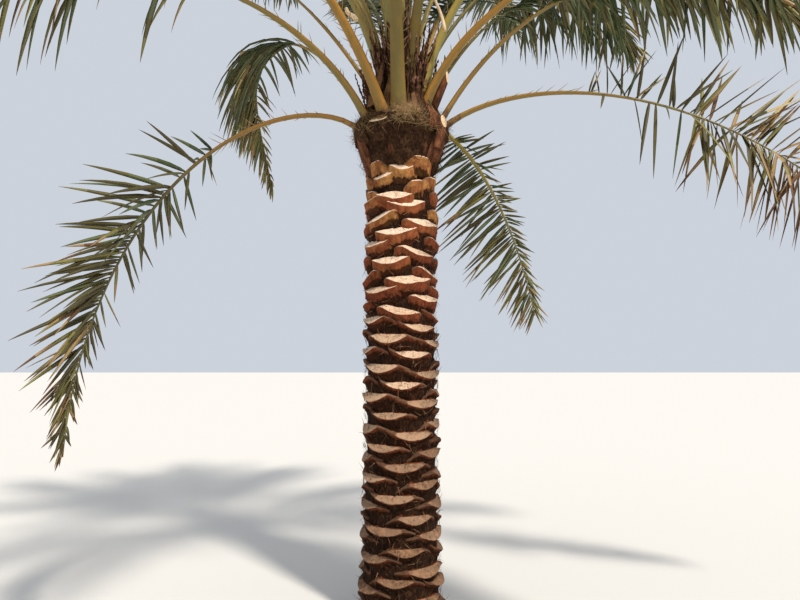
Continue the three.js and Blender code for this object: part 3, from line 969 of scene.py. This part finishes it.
# Dried flower stalks: knobbly columns that stand in bundles between the green stalks, and two pale stumps.
# A bundle is its azimuth, radius, lowest height, length and lean
flowerStalks = {
    "stations": 26, "perBundle": 10, "half": 0.0085, "narrowing": 0.45, "seed": 31, "sides": 6,
    "fan": 6, "leanSpread": 4, "radiusSpread": 0.02, "sway": 0.007, "hairyShare": 0.35,
    "looks": ("driedFlowerStalk", "brownHair", "freshCut"),
    "bundles": ((7, .20, 3.08, .86, 4), (27, .19, 3.10, .52, 10), (-56, .21, 3.05, .36, 14),
                (62, .20, 3.12, .40, 16), (-20, .14, 3.25, .45, 8), (112, .19, 3.12, .42, 14),
                (158, .18, 3.14, .50, 12), (-146, .18, 3.14, .45, 14), (-100, .19, 3.12, .40, 14),
                (-50, .13, 3.20, .50, 14), (-34, .12, 3.26, .46, 12), (-70, .12, 3.24, .40, 10),
                (44, .15, 3.20, .52, 13)),
    "pale": (((.28, -.20, 3.63), (.18, -.22, 3.98), .012), ((-.285, -.23, 3.68), (-.352, -.24, 3.755), .016)),
}


def flowerStalkLines(settings):
    random = np.random.default_rng(settings["seed"])
    paths, halves, kinds = [], [], []
    share = np.linspace(0, 1, settings["stations"])
    for azimuth, radius, low, length, lean in settings["bundles"]:
        for stalk in range(settings["perBundle"]):
            angle = math.radians(azimuth + random.uniform(-settings["fan"], settings["fan"]))
            tall = length * random.uniform(0.55, 1)
            tilt = math.radians(lean + random.uniform(-settings["leanSpread"], settings["leanSpread"]))
            out = radius + random.uniform(-settings["radiusSpread"], settings["radiusSpread"])
            x, y, z = around(angle, out + share * tall * math.sin(tilt), low + share * tall * math.cos(tilt))
            sway = settings["sway"] * np.cumsum(random.normal(0, 0.5, (2, len(share))), axis=1)
            paths.append(np.stack([x + sway[0], y + sway[1], z], axis=1))
            knobs = np.where(np.arange(len(share)) % 2, 0.55, 1.25) * random.uniform(0.7, 1.2, len(share))
            halves.append(settings["half"] * knobs * (1 - settings["narrowing"] * share))
            kinds.append(np.where(random.random(len(share)) < settings["hairyShare"], 1, 0))
    for low, high, half in settings["pale"]:
        low, high = np.array(low), np.array(high)
        paths.append(low + (high - low) * share[:, None] + 0.006 * np.sin(share * 7)[:, None])
        halves.append(half * (1 - 0.3 * share))
        kinds.append(np.full(len(share), 2))
    return lineMesh("flowerStalks", paths, halves, kinds)


flowerPiece = grow("flowerStalks", flowerStalkLines(flowerStalks), sweepTree(
    "flowerStalkSweep", [looks[name] for name in flowerStalks["looks"]]), {"Sides": flowerStalks["sides"]})
settle(flowerPiece, "crown_fibre", "heart")


# Stubs of cut stalks: flattened, widest at the foot, and cut aslant with a pale face. The one cut at a low
# angle has dark fibre on its sides, painted shade
stubbing = {"sides": 16, "rings": 6, "footWider": 1.25, "narrowing": 0.3, "flatness": 0.42, "sunk": 0.05,
            "bluntBelow": 20, "looks": ("redSheath", "freshCut", "crownFibre")}
Stub = namedtuple("Stub", "azimuth radius height slope length half cut")
stubs = [Stub(*row) for row in (
    (-28, .266, 2.955, 58, .075, .066, 16), (56, .292, 2.92, 74, .125, .039, 67),
    (73, .21, 3.14, 66, .26, .042, 66), (-58, .20, 3.13, 68, .12, .034, 40),
    (124, .27, 2.96, 70, .10, .042, 40), (-170, .26, 2.97, 72, .10, .044, 35),
    (-134, .27, 2.95, 70, .12, .040, 50), (150, .21, 3.14, 66, .14, .034, 45),
    (-95, .27, 2.94, 72, .10, .042, 35),
)]


def stubMesh(settings):
    sides, rings = settings["sides"], settings["rings"]
    points, faces, slots = [], [], []
    for number, stub in enumerate(stubs):
        heading, slope = math.radians(stub.azimuth), math.radians(stub.slope)
        out = Vector(around(heading, 1, 0))
        along = out * math.cos(slope) + Vector((0, 0, math.sin(slope)))
        side = Vector((math.cos(heading), math.sin(heading), 0))
        back = along.cross(side)
        foot = out * stub.radius + Vector((0, 0, stub.height))
        first = len(points)
        for ring in range(rings + 1):
            share = ring / rings
            half = stub.half * (settings["footWider"] - settings["narrowing"] * share)
            for corner in range(sides):
                angle = math.tau * corner / sides
                x, y = math.cos(angle) * half, math.sin(angle) * half * settings["flatness"]
                slant = y * math.tan(math.radians(stub.cut)) * share
                slant += 0.003 * uneven(x * 40, y * 40, number) * share
                reach = stub.length * share - settings["sunk"] * (1 - share) + slant
                points.append(foot + along * reach + side * x + back * y)
        faces += ringFaces(first, rings, sides)
        faces.append(tuple(first + corner for corner in range(sides - 1, -1, -1)))
        faces.append(tuple(first + rings * sides + corner for corner in range(sides)))
        # Sides of a stub cut at a low angle take the dark fibre look, as painted shade
        slots += [2 if stub.cut < settings["bluntBelow"] else 0] * (rings * sides) + [0, 1]
    return meshOf("cutStubs", points, faces, slots=slots)


stubPiece = addPiece("cutStubs", stubMesh(stubbing), [looks[name] for name in stubbing["looks"]])
settle(stubPiece, "crown_fibre", "crown_foot")
print("crown foot made")


# Fronds. Their ribs follow the same walk as the CAD blades, in even steps of slope and heading

Frond = namedtuple("Frond", "name azimuth radius height rise fall length bend swing roll lift stalk "
                            "stalkLook leafAge droop")
fronds = [Frond(*row) for row in (
    ("left_low", -71, .270, 3.000, 90, -88, 2.95, .28, 0, 40, -.2, .025, "brown", .44, .16),
    ("right_droop", 107, .280, 3.070, 48, -79, 1.45, .16, -12, -35, -.2, .021, "yellow", .42, .2),
    ("right_low", 84, .270, 3.050, 48, -54, 3.30, .52, 0, 32, -.25, .031, "olive", .66, .5),
    ("left_front", -54, .250, 3.030, 61, -68, 2.90, .85, 0, 0, -.3, .034, "olive", .46, .8),
    ("back_arch", 180, .250, 3.110, 60, -46, 3.00, .9, 0, 0, -.3, .034, "olive", .40, .7),
    ("right_mid", 93, .250, 3.100, 60, -45, 3.20, 1.3, 0, 0, -.3, .034, "olive", .36, 1.3),
    ("center", -4, .230, 3.050, 80, -30, 3.20, 1.0, 0, 0, -.15, .050, "bronze", .25, .6),
    ("front_left", -42, .160, 3.090, 66, -40, 3.20, .9, 8, 0, -.15, .042, "orange", .30, .6),
    ("right_front", 50, .190, 3.130, 72, -70, 3.10, .7, 0, 0, -.3, .036, "orange", .33, 1.1),
    ("left_back", -114, .230, 3.100, 68, -65, 3.40, 1.08, -84, 0, -.3, .028, "olive", .42, 1.0),
    ("left_mid", -112, .150, 3.255, 60, 12, 3.10, 1.2, 6, 0, -.2, .030, "olive", .30, .7),
    ("right_back", 113, .165, 3.200, 62, -32, 2.80, 1.5, 17, 0, -.2, .028, "dark", .22, 1.5),
    ("inner_left", -78, .130, 3.250, 80, -20, 3.00, 1.2, 0, 0, .1, .050, "green", .20, .5),
    ("inner_right", 70, .150, 3.260, 80, -30, 3.00, 1.0, 0, 0, .1, .048, "yellow", .25, .5),
    ("back_left", -166, .190, 3.240, 72, 10, 3.00, 1.1, 0, 0, 0, .038, "green", .30, .6),
    ("back_right", 150, .180, 3.280, 74, -10, 3.00, 1.2, 0, 0, .1, .038, "olive", .25, .5),
    ("inner_side", 103, .110, 3.330, 68, -25, 3.00, 1.2, 0, 0, .15, .030, "dark", .20, .5),
    ("inner_front", 26, .120, 3.280, 82, 0, 2.90, 1.1, 0, 0, .2, .044, "bronze", .20, .4),
    ("high_left", -132, .120, 3.380, 78, -5, 2.90, 1.1, 0, 0, .2, .034, "green", .20, .4),
    ("high_side", -98, .100, 3.430, 80, 0, 2.90, 1.1, 0, 0, .2, .032, "green", .15, .4),
    ("high_front", -24, .100, 3.380, 83, 5, 2.90, 1.1, 0, 0, .2, .044, "green", .15, .4),
    ("high_back", 170, .110, 3.400, 81, 5, 2.90, 1.1, 0, 0, .2, .034, "olive", .15, .4),
    ("high_right", 130, .100, 3.430, 82, 0, 2.90, 1.1, 0, 0, .2, .032, "green", .15, .4),
    ("young_left", -60, .070, 3.470, 84, 20, 2.70, 1.2, 0, 0, .3, .024, "green", .10, .25),
    ("young_back", -160, .070, 3.480, 85, 25, 2.70, 1.2, 0, 0, .3, .024, "green", .10, .25),
    ("young_right", 84, .060, 3.490, 86, 30, 2.60, 1.2, 0, 0, .3, .022, "green", .10, .25),
    ("young_front", 4, .060, 3.500, 87, 35, 2.60, 1.2, 0, 0, .3, .022, "green", .10, .25),
)]
ribWalk = {"steps": 40, "stalkEnd": 0.28, "rollFull": 0.46, "swingCurve": 1.2}


# Points, tangents, sides and ups along a frond's rib, one for each step
def walkRib(frond):
    steps = ribWalk["steps"]

    def directionAt(share):
        slope = math.radians(frond.rise + (frond.fall - frond.rise) * share ** frond.bend)
        heading = math.radians(frond.azimuth + frond.swing * share ** ribWalk["swingCurve"])
        return Vector(around(heading, math.cos(slope), math.sin(slope))), heading

    points = [Vector(around(math.radians(frond.azimuth), frond.radius, frond.height))]
    for step in range(steps):
        points.append(points[-1] + directionAt((step + 0.5) / steps)[0] * (frond.length / steps))
    tangents, sides, ups = [], [], []
    for step in range(steps + 1):
        share = step / steps
        tangent, heading = directionAt(share)
        side = Vector((math.cos(heading), math.sin(heading), 0))
        turned = math.radians(frond.roll * min(share / ribWalk["rollFull"], 1))
        side = side * math.cos(turned) + tangent.cross(side) * math.sin(turned)
        tangents.append(tangent)
        sides.append(side)
        ups.append(tangent.cross(side))
    return [np.array([tuple(v) for v in group]) for group in (points, tangents, sides, ups)]


walks = {frond.name: walkRib(frond) for frond in fronds}


# Stalks and ribs: a round section swept along each walk, then flattened, most on its upper side. Each starts
# sunk in the crown by three steps. The feet of two are shifted, by an offset that fades over so many steps
stalks = {"sides": 12, "sunk": (0.20, 0.12, 0.05), "sunkWidth": (1.5, 1.42, 1.3),
          "upperFlat": 0.42, "lowerFlat": 0.72,
          "flare": 0.22, "flareEnd": 0.07, "endWidth": 0.66, "tipHalf": 0.0032,
          "shifted": {"front_left": ((0.018, -0.105, -0.085), 9), "inner_left": ((0.034, 0.007, 0.0), 18)}}


def stalkHalf(frond, share):
    stalkEnd, endWidth, tipHalf = ribWalk["stalkEnd"], stalks["endWidth"], stalks["tipHalf"]
    if share < stalkEnd:
        flare = stalks["flare"] * max(1 - share / stalks["flareEnd"], 0) ** 1.6
        return frond.stalk * (1 - (1 - endWidth) * share / stalkEnd + flare)
    return tipHalf + (frond.stalk * endWidth - tipHalf) * (1 - ((share - stalkEnd) / (1 - stalkEnd)) ** 0.6)


def stalkTree():
    net = geometryNet("stalkSweep", {"Sides": "Int", "Upper flat": "Float", "Lower flat": "Float"})
    place = net.node("GeometryNodeInputPosition")["Position"]
    curves = net.store(curvesOf(net), "spine", place, "FLOAT_VECTOR")
    swept = sweep(net, curves, roundProfile(net))
    up = net.attribute("up", "FLOAT_VECTOR")
    out = place - net.attribute("spine", "FLOAT_VECTOR")
    above = net.dot(out, up)
    upper = above > 0
    flat = upper * net.given["Upper flat"] + (1 - upper) * net.given["Lower flat"]
    across = net.node("ShaderNodeMath", {"operation": "ABSOLUTE"},
                      {0: net.dot(out, net.attribute("side", "FLOAT_VECTOR"))})[0]
    swept = net.store(swept, "edge", across / net.attribute("half"))
    swept = net.node("GeometryNodeSetPosition", {}, {
        "Geometry": swept, "Offset": up * (above * (flat - 1))})["Geometry"]
    return finishTree(net, swept, stalkLooks.values(), net.attribute("look", "INT"))


def stalkLines():
    points, edges = [], []
    values = {label: [] for label in ("half", "up", "side", "along", "look")}
    for frond in fronds:
        spots, tangents, sides, ups = walks[frond.name]
        look = list(stalkLooks).index(frond.stalkLook)
        outward = np.array(around(math.radians(frond.azimuth), 1, 0))
        rows = [(spots[0] - (tangents[0] * 0.6 + outward * 0.5) * back, 0, 0.0, frond.stalk * wide)
                for back, wide in zip(stalks["sunk"], stalks["sunkWidth"])]
        rows += [(spots[step], step, step / ribWalk["steps"], stalkHalf(frond, step / ribWalk["steps"]))
                 for step in range(ribWalk["steps"] + 1)]
        shift, reach = stalks["shifted"].get(frond.name, ((0, 0, 0), 1))
        edges += [(len(points) + place, len(points) + place + 1) for place in range(len(rows) - 1)]
        for spot, step, share, half in rows:
            points.append(spot + np.array(shift) * max(1 - step / reach, 0))
            for label, value in zip(values, (half, ups[step], sides[step], share, look)):
                values[label].append(value)
    return meshOf("stalks", points, edges=edges, values=values)


stalkPiece = grow("stalksAndRibs", stalkLines(), stalkTree(), {
    "Sides": stalks["sides"], "Upper flat": stalks["upperFlat"], "Lower flat": stalks["lowerFlat"]})
settle(stalkPiece, "frond_stalk", *[f"frond_{frond.name}_stalk" for frond in fronds])
print("stalks made")


# Leaflets: each has a midrib that bends under its weight, and a folded blade swept along it. Lengths and
# openings go by the leaflet's place from the foot to the tip of its frond, and four ranks stand in turn
leaflets = {
    "seed": 5, "longest": 0.43, "halfWidth": 0.0135, "fold": 0.55, "thickness": 0.05, "last": 0.995,
    "stations": np.array([0, .1, .28, .5, .72, .88, 1.0]),
    "widths": np.array([.35, .8, 1.0, .9, .62, .34, .05]),
    "lengths": ([0, .05, .18, .45, .7, .9, 1], [.30, .55, .93, 1, .86, .58, .38]),
    "openings": ([0, .25, .6, 1], [66, 56, 44, 20]), "openSpread": 5,
    "lengthSpread": (0.84, 1.08), "sagSpread": (0.6, 1.4), "narrowest": 0.55, "rootOut": 0.7,
    "ranks": np.array([16, -6.4, 6.4, -17.6]), "raiseSpread": 8, "twistSpread": 0.35,
    "ageSpread": 0.13, "dryTipShare": 0.25, "dryTip": 0.3, "otherTip": 0.06, "tipFrom": 0.7,
}

# How a frond's leaflets grow: how many on a side, the share where they start, how unevenly they stand, how
# wide they are, how much they dry towards the tip, the share that is dull, partly painted shade, and the
# share of those on the right hand that are bleached. Then for each hand, from foot to tip: their length
# against the longest and the share left, and how far they open, how many degrees they are raised and how much
# they sag
Hand = namedtuple("Hand", "lengths kept open raised sag")
Habit = namedtuple("Habit", "perSide start unruly width dried dull bleached left right")
plainHand = Hand((1.0, 1.0), (1.0, 1.0), 1.0, 0, 1.0)
commonHabit = Habit(96, .285, 1.0, 1.0, .12, 0, 0, plainHand, plainHand)


def evenHabit(perSide, start, unruly, width, dried, dull, length, kept=(1.0, 1.0), sag=1.0):
    hand = Hand((length, length), kept, 1.0, 0, sag)
    return Habit(perSide, start, unruly, width, dried, dull, 0, hand, hand)


leafHabits = {
    "left_low": Habit(110, .34, 1.8, .9, .3, .45, 0, Hand((.9, .5, .35), (.45, .3), .9, 0, 1.0),
                      Hand((1.7, 1.15, 1.05, .6), (.4, .9, 1.0, 1.0), 1.1, 0, 1.0)),
    "right_droop": Habit(72, .07, 1.3, .82, .35, .1, 0, Hand((1.4, .5, .35, .35, .9), (.8, .8), 1.15, 5, .5),
                         Hand((1.4, 1.3, 1.1, 1.1), (1.0, 1.0), 1.55, 0, 0.8)),
    # right_low's high dull share darkens its far leaflets as painted shade
    "right_low": Habit(150, .30, 2.8, .9, .95, .45, .28,
                       Hand((1.1, 1.25), (.08, .35, .95, 1.0, 1.0), 1.35, -40, .6),
                       Hand((1.1, 1.0), (.16, .6, .8, .9), 1.4, 75, .1)),
    "left_front": evenHabit(60, .41, 1.3, 1.1, .12, 0, 1.2, (.25, .4, .5), 3.0),
    "right_mid": evenHabit(76, .36, 2.6, 1.25, .12, .1, 1.3),
    "right_front": evenHabit(64, .33, 1.6, 1.5, .12, 0, 1.35),
    "left_back": Habit(120, .31, 1.5, 1.15, .35, .1, .05,
                       Hand((1.3, .8, .5, .4), (.5, .1, .2, .3), 1.0, 0, 1.0),
                       Hand((1.75, 1.6, 1.2, .9), (1.0, 1.0), .9, 0, 2.2)),
    "left_mid": evenHabit(84, .36, 1.0, 1.0, .12, 0, 1.0),
    "right_back": evenHabit(78, .34, 2.6, 1.2, .12, .1, 1.25),
    "back_arch": evenHabit(90, .30, 1.0, 1.0, .12, 0, 1.0),
}


def leafletTree():
    net = geometryNet("leafletSweep", {"Fold": "Float", "Thickness": "Float"})
    fold, thickness = net.given["Fold"], net.given["Thickness"]
    curves = net.node("GeometryNodeSetCurveNormal", {"mode": "FREE"}, {
        "Curve": curvesOf(net), "Normal": net.attribute("up", "FLOAT_VECTOR")})["Curve"]
    blade = net.node("GeometryNodeCurvePrimitiveQuadrilateral", {"mode": "POINTS"}, {
        "Point 1": net.combine(fold, 1.0), "Point 2": net.combine(-1 * thickness, 0.0),
        "Point 3": net.combine(fold, -1.0), "Point 4": net.combine(thickness, 0.0)})["Curve"]
    return finishTree(net, sweep(net, curves, blade), leafLooks.values(), net.attribute("look", "INT"))


def unit(vectors):
    return vectors / np.maximum(np.linalg.norm(vectors, axis=-1, keepdims=True), 1e-9)


# A value for each place, from a few that stand at even steps from foot to tip
def spread(place, values):
    return np.interp(place, np.linspace(0, 1, len(values)), values)


# A walk's groups of vectors at a share between two of its steps
def walkAt(groups, share):
    step = share * ribWalk["steps"]
    low = np.minimum(step.astype(int), ribWalk["steps"] - 1)
    part = (step - low)[:, None]
    return [group[low] * (1 - part) + group[low + 1] * part for group in groups]


# The midribs of one hand's leaflets: their places from foot to tip, points, ups and half widths
def leafletRibs(frond, habit, hand, way, random):
    place = (np.arange(habit.perSide) + 0.5 + random.uniform(-0.3, 0.3, habit.perSide)) / habit.perSide
    place = place[random.random(habit.perSide) < spread(place, way.kept)]
    count = len(place)
    share = habit.start + (leaflets["last"] - habit.start) * place
    root, forward, aside, above = walkAt(walks[frond.name], share)
    size = np.interp(place, *leaflets["lengths"]) * random.uniform(*leaflets["lengthSpread"], count)
    size *= spread(place, way.lengths)
    opened = np.interp(place, *leaflets["openings"]) * way.open
    opened = np.radians(opened + random.normal(0, leaflets["openSpread"] * habit.unruly, count))
    raised = math.degrees(math.atan(frond.lift)) + way.raised + leaflets["ranks"][np.arange(count) % 4]
    raised = np.radians(raised + random.normal(0, leaflets["raiseSpread"] * habit.unruly, count))
    outward = aside * (hand * np.cos(raised))[:, None] + above * np.sin(raised)[:, None]
    aim = forward * np.cos(opened)[:, None] + outward * np.sin(opened)[:, None]
    edge = leaflets["rootOut"] * np.array([stalkHalf(frond, s) for s in share])
    root = root + aside * (hand * edge)[:, None]
    weight = frond.droop * way.sag * random.uniform(*leaflets["sagSpread"], count) * size
    along = leaflets["stations"]
    bent = unit(aim[:, None, :] + (weight[:, None] * along)[..., None] * np.array([0, 0, -1.0]))
    middle = unit((bent[:, 1:] + bent[:, :-1]) / 2) * np.diff(along)[None, :, None]
    path = np.concatenate([np.zeros((count, 1, 3)), np.cumsum(middle, axis=1)], axis=1)
    path = root[:, None, :] + path * (leaflets["longest"] * size)[:, None, None]
    twist = random.normal(0, leaflets["twistSpread"], count)
    facing = above * np.cos(twist)[:, None] + np.cross(aim, above) * np.sin(twist)[:, None]
    facing = facing[:, None, :] - bent * (facing[:, None, :] * bent).sum(-1, keepdims=True)
    wide = leaflets["narrowest"] + (1 - leaflets["narrowest"]) * size
    half = leaflets["halfWidth"] * habit.width * leaflets["widths"][None, :] * wide[:, None]
    return place, path, unit(facing), half


# Which leaf colour an age stands for, from deep green to brown
leafAges = np.array([.12, .3, .42, .56, .72, .86])


# The look of each leaflet's stations: by its age, with a dry tip on some, and dull ones, partly painted
# shade, and bleached ones between
def leafletKinds(frond, habit, hand, place, random):
    along, count = leaflets["stations"][None, :], len(place)
    age = frond.leafAge + random.normal(0, leaflets["ageSpread"], count) + habit.dried * (place - 0.4)
    older = np.where(random.random(count) < leaflets["dryTipShare"], leaflets["dryTip"], leaflets["otherTip"])
    look = np.searchsorted(leafAges, age[:, None] + older[:, None] * (along > leaflets["tipFrom"]))
    dull = (random.random(count) < habit.dull)[:, None] & (look < leafNames.index("leafTan"))
    look = np.where(dull, leafNames.index("leafDullAndShaded"), look)
    bleached = (random.random(count) < habit.bleached * (hand > 0))[:, None]
    bleached = bleached & (along > random.uniform(0.2, 0.8, (count, 1)))
    return np.where(bleached, leafNames.index("leafBleached"), look)


def leafletLines(chosen, random):
    paths, halves, ups, kinds = [], [], [], []
    for frond in chosen:
        habit = leafHabits.get(frond.name, commonHabit)
        for hand, way in ((-1, habit.left), (1, habit.right)):
            place, path, up, half = leafletRibs(frond, habit, hand, way, random)
            paths.append(path)
            ups.append(up)
            halves.append(half)
            kinds.append(leafletKinds(frond, habit, hand, place, random))
    return lineMesh("leaflets", *[np.concatenate(group) for group in (paths, halves, kinds, ups)])


sweepLeaflets = leafletTree()
leafRandom = np.random.default_rng(leaflets["seed"])
for pieceName, chosen in (
        ("leafletsLow", fronds[:9]), ("leafletsMiddle", fronds[9:18]), ("leafletsTop", fronds[18:])):
    leafPiece = grow(pieceName, leafletLines(chosen, leafRandom), sweepLeaflets,
                     {"Fold": leaflets["fold"], "Thickness": leaflets["thickness"]})
    settle(leafPiece, "frond_leaf", *[f"frond_{frond.name}_tip" for frond in chosen])
print("leaflets made")


# Spines: stiff leaflets on both edges of each stalk, below the first true ones
spines = {"perSide": 11, "from": 0.09, "shortest": 0.035, "longest": 0.11, "half": 0.0026, "tipHalf": 0.0004,
          "sides": 4, "looks": ("leafYellowGreen", "leafTan"), "tanShare": 0.35, "seed": 17}


def spineLines(settings):
    random = np.random.default_rng(settings["seed"])
    paths, halves, kinds = [], [], []
    for frond in fronds:
        spots, tangents, sides, ups = walks[frond.name]
        last = leafHabits.get(frond.name, commonHabit).start
        for hand in (-1, 1):
            for number in range(settings["perSide"]):
                place = (number + random.uniform(0.1, 0.9)) / settings["perSide"]
                share = settings["from"] + (last - settings["from"]) * place
                step = min(int(share * ribWalk["steps"]), ribWalk["steps"] - 1)
                part = share * ribWalk["steps"] - step
                root = spots[step] * (1 - part) + spots[step + 1] * part
                root = root + sides[step] * hand * stalkHalf(frond, share) * 0.85
                length = settings["shortest"] + (settings["longest"] - settings["shortest"]) * place ** 0.8
                aim = tangents[step] * random.uniform(0.5, 1) + sides[step] * hand * random.uniform(0.5, 1)
                aim = aim + ups[step] * random.uniform(-0.1, 0.5)
                tip = root + aim / np.linalg.norm(aim) * length * random.uniform(0.8, 1.2)
                paths.append([root, root * 0.45 + tip * 0.55, tip])
                halves.append([settings["half"], settings["half"] * 0.8, settings["tipHalf"]])
                kinds.append([int(random.random() < settings["tanShare"])] * 3)
    return lineMesh("spines", paths, halves, kinds)


spinePiece = grow("spines", spineLines(spines), sweepTree("spineSweep", [
    leafLooks[name] for name in spines["looks"]]), {"Sides": spines["sides"]})
settle(spinePiece, "frond_stalk")


# The spear: a young leaf, still closed, whose leaflets wind up its rib and are pressed to it
spear = {
    "low": 3.5, "high": 4.88, "leaflets": 46, "firstAbove": 0.02, "lastBelow": 0.45, "turn": 2.4,
    "half": 0.013, "girths": ([3.5, 3.8, 4.3, 4.7], [.044, .040, .030, .014]),
    "leaning": ([0, .2, .7, 1], [.55, 1, .9, .5]),
    "widths": np.array([.5, .9, 1, .95, .7, .4, .08]), "seed": 19,
    "looks": ("leafGreen", "leafYellowGreen", "leafOlive", "leafYellowGreen"),
}


def spearLines(settings):
    random = np.random.default_rng(settings["seed"])
    widths, looksInTurn = settings["widths"], settings["looks"]
    share = np.linspace(0, 1, len(widths))
    paths, halves, ups, kinds = [], [], [], []
    for number in range(settings["leaflets"]):
        low = settings["low"] + settings["firstAbove"]
        low += (settings["high"] - settings["low"] - settings["lastBelow"]) * number / settings["leaflets"]
        girth = np.interp(low, *settings["girths"])
        reach = girth * np.interp(share, *settings["leaning"]) + random.uniform(-.003, .004)
        height = low + share * random.uniform(0.38, 0.46)
        x, y, z = around(number * settings["turn"], reach, height)
        paths.append(np.stack([x, y, z], axis=1))
        halves.append(settings["half"] * widths)
        ups.append([around(number * settings["turn"], 1, 0)] * len(widths))
        kinds.append([leafNames.index(looksInTurn[number % len(looksInTurn)])] * len(widths))
    return lineMesh("spearLeaf", paths, halves, kinds, ups)


spearPiece = grow("spearLeaf", spearLines(spear), sweepLeaflets,
                  {"Fold": -leaflets["fold"], "Thickness": leaflets["thickness"]})
settle(spearPiece, "frond_leaf", "spear_leaf")


# Floor, light and camera

studio = {
    "floorHalf": 60, "floorColour": (214, 210, 204), "sky": (0.80, 0.86, 0.95, 1), "skyStrength": 0.75,
    "sunStrength": 3.6, "sunWidth": 6, "sunColour": (1.0, 0.95, 0.86), "sunFrom": (0.45, -0.55, 0.9),
}
reach = studio["floorHalf"]
floorMesh = meshOf("floor", [(-reach, -reach, 0), (reach, -reach, 0), (reach, reach, 0), (-reach, reach, 0)],
                   [(0, 1, 2, 3)])
floorMaterial = finishMaterial(startMaterial("paleFloor"), {
    "Base Color": tint(*studio["floorColour"]), "Roughness": 0.9})
floor = addPiece("floor", floorMesh, [floorMaterial])

world = bpy.data.worlds.new("studio")
world.use_nodes = True
world.node_tree.nodes["Background"].inputs["Color"].default_value = studio["sky"]
world.node_tree.nodes["Background"].inputs["Strength"].default_value = studio["skyStrength"]
bpy.context.scene.world = world

sunData = bpy.data.lights.new("key", "SUN")
sunData.energy = studio["sunStrength"]
sunData.angle = math.radians(studio["sunWidth"])
sunData.color = studio["sunColour"]
sun = addPiece("key", sunData)
sun.rotation_euler = Vector(studio["sunFrom"]).to_track_quat("Z", "Y").to_euler()
bpy.context.scene.view_settings.view_transform = "Standard"

view = {"distance": 3.85, "height": 1.55, "pitch": 5.5, "aside": -0.0064, "lens": 27.0, "sensor": 36.0}
cameraData = bpy.data.cameras.new("camera")
cameraData.lens = view["lens"]
cameraData.sensor_width = view["sensor"]
camera = addPiece("camera", cameraData)
camera.location = (view["aside"], -view["distance"], view["height"])
camera.rotation_euler = (math.radians(90 + view["pitch"]), 0, 0)
bpy.context.scene.camera = camera
